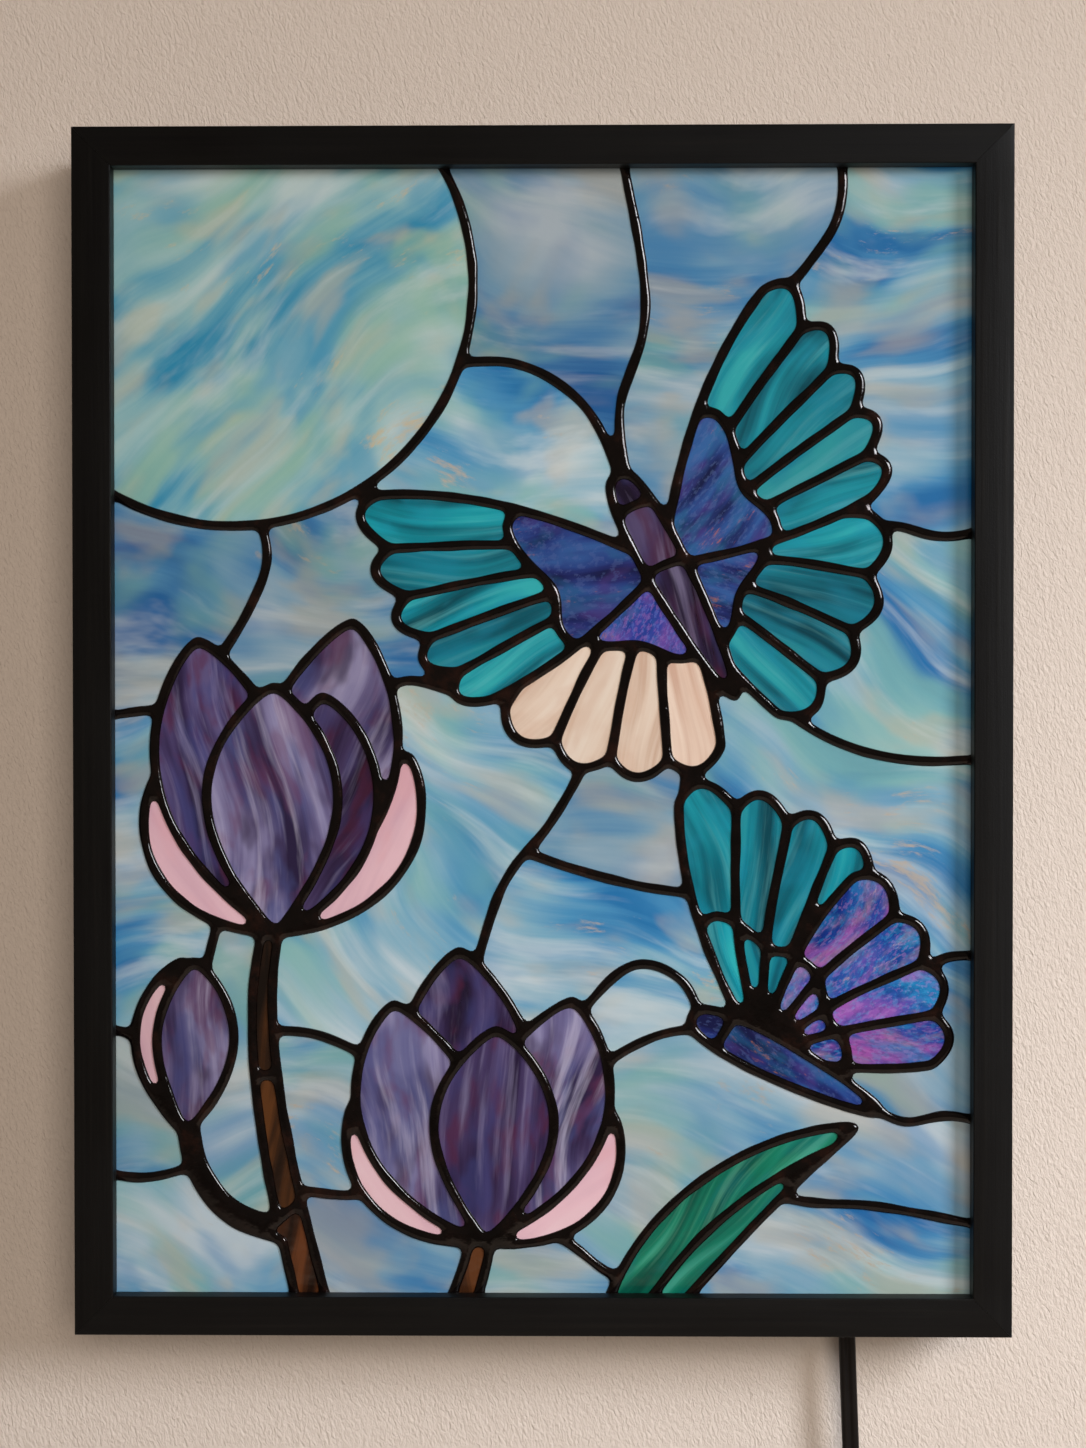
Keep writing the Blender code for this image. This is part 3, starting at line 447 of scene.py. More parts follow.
def petal(base, heading, length, width, bend=0.0, widest=0.55, fullness=0.75, steps=48):
    """A petal or leaf that is pointed at both ends and widest at that share of its length."""
    swell = math.log(0.5) / math.log(widest)
    spot, sides = Vector(base), [[], []]
    for i in range(steps + 1):
        here = heading + bend * i / steps
        half = width / 2 * max(math.sin(math.pi * (i / steps) ** swell), 0.0) ** fullness
        for side, sign in zip(sides, (1, -1)):
            side.append(spot + toward(here + 90) * (sign * half))
        spot = spot + toward(here + bend / steps / 2) * (length / steps)
    return sides[1][:-1] + sides[0][:0:-1]


def stalk(*stations, start=4.0, end=9.0):
    """A stem through the stations that widens from start to end."""
    line = smooth(*stations, steps=24)
    left, right = [], []
    for i, spot in enumerate(line):
        way = line[min(i + 1, len(line) - 1)] - line[max(i - 1, 0)]
        side = Vector((-way.y, way.x)).normalized() * (start + (end - start) * i / (len(line) - 1)) / 2
        left.append(spot + side)
        right.append(spot - side)
    return left + right[::-1]


def wing_reach(reach, share):
    """The radius of a wing's margin at a share of the way from its leading to its trailing edge."""
    return reach[0] + (reach[1] - reach[0]) * share**0.8


def wing(root, lead, trail, reach, cells, lobe=0.09):
    """A wing that fans out from its root between two headings, with one round lobe for each cell."""
    root, outward = Vector(root), math.copysign(1.0, lead - trail)

    def margin(share, more=1.0):
        return root + toward(lead + (trail - lead) * share) * wing_reach(reach, share) * more

    outline = bezier(root, root + toward(lead + 13 * outward) * reach[0] * 0.6, margin(0))
    for k in range(cells):
        start, top, end = margin(k / cells), margin((k + 0.5) / cells, 1 + 2 * lobe), margin((k + 1) / cells)
        outline += bezier(start, top, end, steps=16)
    return outline + bezier(margin(1), root + toward(trail - 10 * outward) * reach[1] * 0.55, root)


def wing_heart(root, lead, trail, reach, share, steps=36):
    """The inner cell of a wing, out to a share of its reach; it runs past both edges of the wing."""
    arc = []
    for i in range(steps + 1):
        t = -0.25 + 1.5 * i / steps
        radius = wing_reach(reach, min(max(t, 0.0), 1.0)) * share * (1 + 0.10 * math.cos(2 * math.pi * t))
        arc.append(Vector(root) + toward(lead + (trail - lead) * t) * radius)
    return [Vector(root), *arc]


def veins(root, lead, trail, reach, cells, bow=5.0):
    """The lines between a wing's cells, from its root to just past each notch; they bow outwards."""
    root, lines = Vector(root), []
    for k in range(1, cells):
        heading = lead + (trail - lead) * k / cells
        far = wing_reach(reach, k / cells) * 1.03
        lean = toward(heading + 90 * math.copysign(1.0, lead - trail)) * bow * (1 - k / cells)
        lines.append(smooth(root, root + toward(heading) * far * 0.5 + lean, root + toward(heading) * far))
    return lines


# %% [markdown]
# The picture is a disc in the sky, two butterflies, and flowers on their stems. The closed shapes are the
# same ones that the solids have. The open lines after them are finer joints, which only this file draws.

# %% The drawing's shapes and lines
LARGE_ROOT, SMALL_ROOT = (42, 58), (76, -112)
LARGE_WINGS = [
    ("left_hindwing", 222, 288, (74, 66), 4, 0.46, "cream", "violet_blue"),
    ("right_hindwing", 14, -52, (74, 66), 4, 0.46, "teal", "cobalt"),
    ("left_forewing", 166, 218, (102, 76), 5, 0.50, "teal", "cobalt"),
    ("right_forewing", 70, 18, (102, 76), 5, 0.50, "teal", "cobalt"),
]
SMALL_WINGS = [
    ("far_wing", 108, 58, (92, 72), 4, 0.50, "teal"),
    ("near_wing", 62, -4, (70, 60), 4, 0.46, "mottled"),
]
FLOWERS = {
    "bud": ((-125, -140), [(99, 60, 30, -16, "pink"), (80, 60, 27, 14, "violet")]),
    "upper_flower": (
        (-93, -70),
        [
            (38, 78, 34, 30, "pink"),
            (144, 70, 32, -34, "pink"),
            (70, 112, 48, 12, "violet"),
            (113, 106, 46, -16, "plum"),
            (58, 86, 38, 42, "plum"),
            (93, 86, 46, -5, "violet"),
        ],
    ),
    "lower_flower": (
        (-20, -178),
        [
            (152, 68, 30, -38, "pink"),
            (26, 64, 30, 38, "pink"),
            (99, 102, 48, -8, "plum"),
            (60, 90, 44, 20, "violet"),
            (126, 90, 42, -30, "violet"),
            (84, 74, 42, 6, "plum"),
        ],
    ),
}
STEMS = [
    # the name, how wide it is at its start and at its end, and the points that it goes through
    ("tall_stem", 5, 11, [(-93, -56), (-98, -96), (-93, -146), (-76, -220)]),
    ("tall_stem", 4.5, 6, [(-125, -130), (-121, -152), (-109, -168), (-88, -176)]),
    ("short_stem", 6, 10, [(-20, -166), (-24, -188), (-36, -220)]),
]
SKY = [
    # the lines between the solids' pieces of sky; their ends lie inside what they join or off the sheet
    [(30, 81), (16, 112), (-8, 128), (-40, 128)],
    [(76, 146), (92, 162), (104, 184), (102, 220)],
    [(-46, 76), (-60, 82), (-78, 100)],
    [(80, 10), (104, -4), (132, -10), (172, -8)],
    [(-100, 80), (-96, 60), (-104, 40), (-118, 18)],
    [(0, 22), (-26, 14), (-48, 18), (-66, 6)],
    [(60, 2), (50, -16), (52, -34), (66, -44)],
    [(22, 2), (4, -30), (-14, -54), (-26, -92)],
    [(58, -103), (40, -106), (22, -116), (8, -132)],
    [(132, -84), (144, -78), (172, -80)],
    [(112, -129), (126, -136), (144, -134), (172, -142)],
    [(-120, -94), (-116, -76), (-110, -52)],
    [(-98, -104), (-78, -106), (-58, -116), (-44, -132)],
]
FINER_SKY = [
    [(31, 81), (27, 112), (36, 150), (24, 220)],
    [(102, 66), (120, 72), (142, 68), (172, 76)],
    [(-112, 0), (-132, 8), (-172, 2)],
    [(57, -103), (48, -86), (30, -82), (8, -104)],
    [(60, -158), (92, -164), (120, -166), (172, -176)],
    [(66, -58), (36, -54), (12, -48), (-6, -42)],
    [(-134, -110), (-152, -104), (-172, -108)],
    [(-121, -152), (-142, -156), (-172, -150)],
    [(-50, -156), (-66, -162), (-88, -160)],
    [(-10, -170), (8, -178), (26, -190), (40, -184)],
]
FINER_LINES = [
    ("large_body", [(22, 72), (32, 79), (44, 82)]),
    ("large_body", [(30, 50), (42, 58), (56, 62)]),
    ("small_body", [(58, -114), (64, -104), (70, -94)]),
    ("leaf", [(20, -222), (56, -176), (92, -150), (120, -140)]),
    ("tall_stem", [(-108, -122), (-96, -120), (-84, -122)]),
    ("tall_stem", [(-104, -178), (-94, -172), (-84, -164)]),
]


def drawn_shapes():
    """Every closed shape as (name, glass, outline, parent), the lowest first.

    A shape with a parent shows only inside it.
    """
    shapes = [("disc", "disc", ellipse((-108, 156), 0, 168, 168), None)]
    for name, start, end, stations in STEMS:
        shapes.append((name, "stem", stalk(*stations, start=start, end=end), None))
    shapes.append(("leaf", "emerald", petal((22, -222), 66, 124, 26, bend=-44, widest=0.42), None))
    for name, (base, petals) in FLOWERS.items():
        for i, (heading, length, width, bend, glass) in enumerate(petals):
            shapes.append((f"{name}_petal_{i + 1}", glass, petal(base, heading, length, width, bend), None))
    for name, lead, trail, reach, cells, share, outer, inner in LARGE_WINGS:
        shapes.append((f"{name}_cells", outer, wing(LARGE_ROOT, lead, trail, reach, cells), None))
        heart = wing_heart(LARGE_ROOT, lead, trail, reach, share)
        shapes.append((f"{name}_heart", inner, heart, f"{name}_cells"))
    body = {"widest": 0.34, "fullness": 0.55}
    shapes.append(("large_body", "plum", petal((26, 90), -62, 88, 15, **body), None))
    for name, lead, trail, reach, cells, _, glass in SMALL_WINGS:
        shapes.append((name, glass, wing(SMALL_ROOT, lead, trail, reach, cells), None))
    shapes.append(("small_body", "cobalt", petal((52, -99), -27, 74, 14, **body), None))
    return shapes


def finer_joints():
    """The further lines, as (the shape that each one splits, its points)."""
    lines = [("sky", smooth(*stations)) for stations in FINER_SKY]
    for name, lead, trail, reach, cells, *_ in LARGE_WINGS:
        lines += [(f"{name}_cells", line) for line in veins(LARGE_ROOT, lead, trail, reach, cells)]
    for name, lead, trail, reach, cells, share, _ in SMALL_WINGS:
        lines += [(name, line) for line in veins(SMALL_ROOT, lead, trail, reach, cells)]
        heart = wing_heart(SMALL_ROOT, lead, trail, reach, share)
        lines.append((name, heart[1:]))
    return lines + [(name, smooth(*stations)) for name, stations in FINER_LINES]


# %% [markdown]
# ## From the drawing to the pieces of glass
# All outlines and lines go into one triangulation. Each triangle belongs to the topmost shape that covers
# it, and triangles that touch without a joint between them are one piece of glass. Scraps too small to cut
# from glass join their neighbour, as a glazier would decide.

# %% Loops and their areas
BORDER_CAME = 2.6 * MM  # so narrow that the frame's lip hides the whole metal edge
FINEST_STEP = 1.5 * MM
SMALLEST_PIECE = 30.0 * MM**2


def area(loop):
    """The area inside a loop, negative where the loop runs clockwise."""
    return sum(a.cross(b) for a, b in stretches(loop)) / 2


def centroid(loop):
    """The middle of the area inside a loop."""
    weighted = Vector((0.0, 0.0))
    for a, b in stretches(loop):
        weighted += (a + b) * a.cross(b) / 6
    return weighted / area(loop)


def divided(line, longest, closed=True):
    """The line with points added, so that no stretch is longer than that."""
    points = []
    for a, b in stretches(line) if closed else zip(line, line[1:]):
        parts = max(1, math.ceil((b - a).length / longest))
        points += [a.lerp(b, k / parts) for k in range(parts)]
    return points if closed else [*points, line[-1]]


def boundary_loops(triangles, inside, points):
    """The closed boundaries of the chosen triangles, the largest first, each with its inside on the left."""
    onward = {}
    for a, b in sorted(rim([triangles[i] for i in inside])):
        onward.setdefault(a, []).append(b)
    loops = []
    while onward:
        start = next(iter(onward))
        before, here, loop = None, start, []
        while here in onward:
            options = onward[here]
            if len(options) > 1 and before is not None:
                back = points[before] - points[here]
                options.sort(key=lambda n: back.angle_signed(points[n] - points[here], 0.0) % (2 * math.pi))
            following = options.pop(0)
            if not options:
                del onward[here]
            loop.append(points[here])
            before, here = here, following
            if here == start:
                break
        loops.append(loop)
    return sorted(loops, key=area, reverse=True)


# %% Groups of triangles that make one piece


def touching(faces, kept):
    """For each kept face the ones beside it with the edge between, and for each edge its faces."""
    near, beside = {i: [] for i in kept}, {}
    for i in kept:
        for edge in stretches(faces[i]):
            beside.setdefault(frozenset(edge), []).append(i)
    for edge, pair in beside.items():
        if len(pair) == 2:
            near[pair[0]].append((pair[1], edge))
            near[pair[1]].append((pair[0], edge))
    return near, beside


def connected(members, neighbours, same_piece):
    """Groups of the members that touch where same_piece says so."""
    groups, seen = [], set()
    for first in members:
        if first in seen:
            continue
        seen.add(first)
        group = [first]
        for i in group:
            for j, edge in neighbours[i]:
                if j not in seen and same_piece(i, j, edge):
                    seen.add(j)
                    group.append(j)
        groups.append(group)
    return groups


def without_scraps(groups, neighbours, sizes, lengths):
    """The groups after each one that is too small has joined the neighbour with the longest shared line."""
    group_of = {i: number for number, group in enumerate(groups) for i in group}
    for number in sorted(range(len(groups)), key=lambda n: sum(sizes[i] for i in groups[n])):
        if sum(sizes[i] for i in groups[number]) > SMALLEST_PIECE:
            continue
        shared = {}
        for i in groups[number]:
            for j, edge in neighbours[i]:
                if group_of.get(j, number) != number:
                    shared[group_of[j]] = shared.get(group_of[j], 0.0) + lengths[edge]
        if shared:
            other = max(shared, key=shared.get)
            groups[other] += groups[number]
            group_of.update({i: other for i in groups[number]})
            groups[number] = []
    return [group for group in groups if group]


def layered_shapes():
    """The sheet of sky, and over it the drawing's closed shapes, in metres and anticlockwise."""
    sheet = rectangle(PANEL_WIDTH - 2 * BORDER_CAME, PANEL_HEIGHT - 2 * BORDER_CAME)
    shapes = [("sky", "sky", sheet, None)]
    for name, glass, outline, parent in drawn_shapes():
        loop = [p * MM for p in outline]
        shapes.append((name, glass, loop if area(loop) > 0 else loop[::-1], parent))
    return shapes


def triangulated(shapes):
    """The whole drawing as points and triangles, with each triangle's shape and each edge's joints.

    A shape is given by its number, and a joint as (the shape that it splits, whether it splits the solid too).
    """
    number = {}
    for i, shape in enumerate(shapes):
        number.setdefault(shape[0], i)
    spots, edges, faces, splits = [], [], [], []
    for _, _, loop, _ in shapes:
        loop = divided(loop, FINEST_STEP)
        faces.append(list(range(len(spots), len(spots) + len(loop))))
        spots += loop
    lines = [("sky", smooth(*stations), True) for stations in SKY]
    lines += [(*pair, False) for pair in finer_joints()]
    for owner, line, in_solids in lines:
        line = divided([p * MM for p in line], FINEST_STEP, closed=False)
        edges += [(len(spots) + i, len(spots) + i + 1) for i in range(len(line) - 1)]
        splits += [(number[owner], in_solids)] * (len(line) - 1)
        spots += line
    drawing = delaunay_2d_cdt(spots, edges, faces, 0, 10 * MERGE, True)
    points, cuts, triangles, _, sources, covers = drawing
    joints = {}
    for cut, ids in zip(cuts, sources):
        joints[frozenset(cut)] = {splits[i] for i in ids if i < len(splits)}
    labels = []
    for covering in covers:
        covering = set(covering)
        tops = [i for i in covering if shapes[i][3] is None or number[shapes[i][3]] in covering]
        labels.append(number[shapes[max(tops)][0]] if 0 in covering else None)
    return points, triangles, labels, joints


def glass_regions():
    """{the solid's name: (glass, the centre-line loop of each piece in it)}, about the panel's middle."""
    shapes = layered_shapes()
    points, triangles, labels, joints = triangulated(shapes)
    neighbours, beside = touching(triangles, range(len(triangles)))
    lengths = {edge: (points[min(edge)] - points[max(edge)]).length for edge in beside}
    sizes = [abs(area([points[v] for v in triangle])) for triangle in triangles]

    def one_solid(i, j, edge):
        return labels[i] == labels[j] and (labels[i], True) not in joints.get(edge, ())

    def one_piece(i, j, edge):
        return j in members and not any(owner == label for owner, _ in joints.get(edge, ()))

    held = [i for i, label in enumerate(labels) if label is not None]
    solids = connected(held, neighbours, one_solid)
    found = {}
    for group in without_scraps(solids, neighbours, sizes, lengths):
        label, members = labels[group[0]], set(group)
        middle = centroid(boundary_loops(triangles, group, points)[0])
        parts = connected(group, neighbours, one_piece)
        near = {i: [(j, edge) for j, edge in neighbours[i] if j in members] for i in group}
        parts = without_scraps(parts, near, sizes, lengths)
        loops = [boundary_loops(triangles, part, points)[0] for part in parts]
        found.setdefault(label, []).append((middle.x, sorted(loops, key=lambda loop: centroid(loop).x)))
    regions = {}
    for i, (name, glass, _, _) in enumerate(shapes):
        rows = sorted(found.get(i, []), key=lambda row: row[0])
        for k, (_, loops) in enumerate(rows):
            regions[name if len(rows) == 1 else f"{name}_{k + 1:02d}"] = (glass, loops)
    return regions


regions = glass_regions()
unmatched = {f"{name}_glass" for name in regions} ^ {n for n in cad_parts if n.endswith("_glass")}
print("solids:", len(regions), "unmatched:", unmatched)
print("pieces of glass:", sum(len(loops) for _, loops in regions.values()))

# %% [markdown]
# Each loop so far runs along the middle of a solder line. The glass that shows is smaller: the loop moves in
# by half the solder's width. Where solder fills a sharp corner it leaves a round one, so the loop first
# moves in too far and then out again. Moving out too far and in again closes small notches in the same
# way. Lead and solder are never quite even, so the edge wanders a little.

# %% The openings in the solder
SOLDER_WIDTH = 3.5 * MM
CORNER = 1.2 * MM
NOTCH = 1.2 * MM
RING_STEP = 1.1 * MM
WANDER, WANDER_WAVE = 0.28 * MM, 9 * MM
SMALLEST_OPENING = 1.0 * MM**2


def windings(loop, spots):
    """How many times the loop runs round each spot."""
    a, p = np.array(loop), np.array(spots)[:, None, :]
    b = np.roll(a, -1, axis=0)
    side = (b[:, 0] - a[:, 0]) * (p[..., 1] - a[:, 1]) - (b[:, 1] - a[:, 1]) * (p[..., 0] - a[:, 0])
    rising = (a[:, 1] <= p[..., 1]) & (b[:, 1] > p[..., 1]) & (side > 0)
    falling = (a[:, 1] > p[..., 1]) & (b[:, 1] <= p[..., 1]) & (side < 0)
    return rising.sum(1) - falling.sum(1)


def moved(loop, distance, arc_step=25.0):
    """The loop moved inward by the distance, round at the corners that it turns about, without folds."""
    raw = []
    for before, here, after in in_threes(loop):
        come, go = here - before, after - here
        shortest = min(come.length, go.length)
        come, go = come.normalized(), go.normalized()
        turn = math.atan2(come.cross(go), come.dot(go))
        first, last = Vector((-come.y, come.x)) * distance, Vector((-go.y, go.x)) * distance
        shrinks = turn * distance > 0
        if shrinks and abs(distance * math.tan(turn / 2)) > shortest:
            raw += [here + first, here, here + last]
        elif not shrinks and abs(turn) > math.radians(arc_step):
            steps = math.ceil(abs(turn) / math.radians(arc_step))
            raw += [here + Matrix.Rotation(turn * k / steps, 2) @ first for k in range(steps + 1)]
        else:
            raw.append(here + (first + last) / (1 + math.cos(turn)))
    return unfolded(raw)


def unfolded(raw):
    """The largest part that a closed line runs round leftwards, with an edge that crosses itself nowhere."""
    points, _, faces, *_ = delaunay_2d_cdt(raw, closed_edges(0, len(raw)), [], 0, MERGE, False)
    middles = [sum((points[v] for v in f), Vector((0, 0))) / 3 for f in faces]
    kept = {i for i, turns in enumerate(windings(raw, middles)) if turns > 0}
    near, _ = touching(faces, kept)
    groups = connected(sorted(kept), near, lambda i, j, edge: True)
    loops = [boundary_loops(faces, group, points)[0] for group in groups]
    return max(loops, key=area, default=[])


def resampled(loop, spacing):
    """The closed loop with evenly spaced points."""
    lengths = [0.0]
    for a, b in stretches(loop):
        lengths.append(lengths[-1] + (b - a).length)
    count, k, points = max(12, round(lengths[-1] / spacing)), 0, []
    for i in range(count):
        reach = lengths[-1] * i / count
        while lengths[k + 1] < reach:
            k += 1
        a, b = loop[k], loop[(k + 1) % len(loop)]
        points.append(a.lerp(b, (reach - lengths[k]) / max(lengths[k + 1] - lengths[k], 1e-12)))
    return points


def relaxed(loop, rounds=2):
    """The loop with each point drawn towards its neighbours, as solder rounds off every kink."""
    for _ in range(rounds):
        loop = [(before + here * 2 + after) / 4 for before, here, after in in_threes(loop)]
    return loop


def wandering(loop, amount, wave):
    """The loop with each point moved across it by smooth noise."""
    made = []
    for before, here, after in in_threes(loop):
        way = (after - before).normalized()
        made.append(here + Vector((-way.y, way.x)) * amount * noise.noise(Vector((*here, 0.0)) / wave))
    return made


def opening(loop):
    """The edge of the glass that shows inside a solder line's centre loop."""
    inner = moved(loop, SOLDER_WIDTH / 2 + CORNER)
    if len(inner) < 3 or area(inner) < SMALLEST_OPENING:
        return []
    edge = moved(moved(inner, -CORNER - NOTCH), NOTCH)
    if len(edge) < 3:
        return []
    edge = relaxed(resampled(edge, RING_STEP))
    return resampled(unfolded(wandering(edge, WANDER, WANDER_WAVE)), RING_STEP)


holes = {}
for name, (glass, loops) in regions.items():
    holes[name] = [(loop, hole) for loop in loops for hole in [opening(loop)] if hole]
print("openings:", sum(len(pairs) for pairs in holes.values()))

# %% [markdown]
# ## Coloured glass
# Opalescent art glass is poured from several colours at once and rolled into a sheet, so its colours lie in
# long soft streaks. Each piece is cut with the streaks in the direction that suits it. The meshes therefore
# carry an attribute, `streak`: the distance along and across the streaks in millimetres, and a third number
# that differs for each piece, so that no two pieces show the same part of the sheet.

# %% The glass materials


def art_glass(
    name,
    colors,
    streak=(125.0, 18.0),
    swirl=44.0,
    clouds=(),
    wisps=None,
    grains=(),
    flecks=None,
    hammer=0.0,
    rough=0.16,
    vary=(0.86, 1.12),
):
    """Streaky opalescent glass: rolled, so it is smooth and glossy but never quite flat.

    colors run from the darkest streak to the lightest; streak is how long and wide the streaks are in mm;
    swirl is how far in mm the pour bends them;
    clouds are (colour, amount, size in mm); wisps are (colour, amount); grains are (colour, amount) of the
    crisp specks in an iridised surface; flecks are (colour, share of the sheet, their size in mm); vary is
    how dark and how light a whole piece may be.
    """
    made, tree, shader = new_material(name, IOR=1.52)
    where = add_node(tree, "ShaderNodeAttribute", attribute_name="streak").outputs["Vector"]
    pour = add_node(tree, "ShaderNodeTexNoise", {"Vector": where, "Scale": 1 / 95.0, "Detail": 1.0})
    away = {0: pour.outputs["Color"], 1: (0.5, 0.5, 0.5)}
    centred = add_node(tree, "ShaderNodeVectorMath", away, operation="SUBTRACT").outputs[0]
    push = add_node(tree, "ShaderNodeVectorMath", {0: centred, "Scale": swirl}, operation="SCALE").outputs[0]
    bent = add_node(tree, "ShaderNodeVectorMath", {0: where, 1: push}, operation="ADD").outputs[0]

    def along(length, width, detail, roughness, shift=0.0):
        """Noise drawn out along the streaks; length and width are in mm."""
        place = bent
        steps = {"ADD": (shift, shift, shift), "MULTIPLY": (1 / length, 1 / width, 0.04)}
        for step, by in steps.items():
            place = add_node(tree, "ShaderNodeVectorMath", {0: place, 1: by}, operation=step).outputs[0]
        finer = {"Vector": place, "Scale": 1.0, "Detail": detail, "Roughness": roughness}
        return add_node(tree, "ShaderNodeTexNoise", finer).outputs["Fac"]

    def covered(under, color, cover, low, high, amount):
        """The colour laid over the paint where the cover is above low, fully from high on."""
        rise = {"Value": cover, 1: low, 2: high, 3: 0.0, 4: amount}
        share = add_node(tree, "ShaderNodeMapRange", rise, interpolation_type="SMOOTHSTEP").outputs[0]
        layers = {0: share, 6: under, 7: linear(color)}
        return add_node(tree, "ShaderNodeMix", layers, data_type="RGBA").outputs[2]

    long, wide = streak
    broad = along(long, wide, 2.0, 0.5)
    feather = along(long * 0.7, wide / 7, 3.0, 0.6)
    position = add_node(tree, "ShaderNodeMath", {0: feather, 1: 0.15, 2: broad}, operation="MULTIPLY_ADD")
    stops = [(0.40 + 0.35 * k / (len(colors) - 1), code) for k, code in enumerate(colors)]
    paint = add_node(tree, "ShaderNodeValToRGB", {"Fac": position.outputs[0]}, ramp=stops).outputs["Color"]
    for number, (color, amount, size) in enumerate(clouds):
        cloud = along(size * 2.2, size, 2.5, 0.55, 71.0 * (number + 1))
        paint = covered(paint, color, cloud, 0.48, 0.66, amount)
    if wisps:
        paint = covered(paint, wisps[0], along(long * 0.8, wide / 2.2, 4.0, 0.56, 23.0), 0.5, 0.74, wisps[1])
    for number, (color, amount) in enumerate(grains):
        grain = along(2.6, 1.4, 3.0, 0.6, 31.0 * (number + 1))
        paint = covered(paint, color, grain, 0.52, 0.60, amount)
    if flecks:
        color, share, size = flecks
        patch = along(9 * size, 4.5 * size, 2.0, 0.5, 400.0)
        crumb = along(1.9 * size, 0.6 * size, 5.0, 0.7, 150.0)
        both = add_node(tree, "ShaderNodeMath", {0: patch, 1: crumb}, operation="MULTIPLY").outputs[0]
        paint = covered(paint, color, both, 0.38 - 0.2 * share, 0.50 - 0.2 * share, 0.75)
    tint = add_node(tree, "ShaderNodeAttribute", attribute_name="tint").outputs["Fac"]
    level = add_node(tree, "ShaderNodeMapRange", {"Value": tint, 3: vary[0], 4: vary[1]}).outputs[0]
    hue = add_node(tree, "ShaderNodeMapRange", {"Value": tint, 3: 0.508, 4: 0.494}).outputs[0]
    turned = {"Hue": hue, "Value": level, "Color": paint}
    shade = add_node(tree, "ShaderNodeHueSaturation", turned).outputs["Color"]
    rolling = {"Vector": where, "Scale": 1 / 8.0, "Detail": 2.0}
    height = add_node(tree, "ShaderNodeTexNoise", rolling).outputs["Fac"]
    if hammer:
        cells = {"Vector": where, "Scale": 1 / 2.4}
        dents = add_node(tree, "ShaderNodeTexVoronoi", cells, feature="SMOOTH_F1").outputs["Distance"]
        added = {0: dents, 1: hammer, 2: height}
        height = add_node(tree, "ShaderNodeMath", added, operation="MULTIPLY_ADD").outputs[0]
    finish(tree, shader, shade, broad, (rough * 0.8, rough * 1.25), (height, 0.5, 0.4 * MM))
    # painted glow: the glass gives off a faint light in its own colour, though no lamp is inside the box
    tree.links.new(shade, shader.inputs["Emission Color"])
    shader.inputs["Emission Strength"].default_value = 0.05
    return made


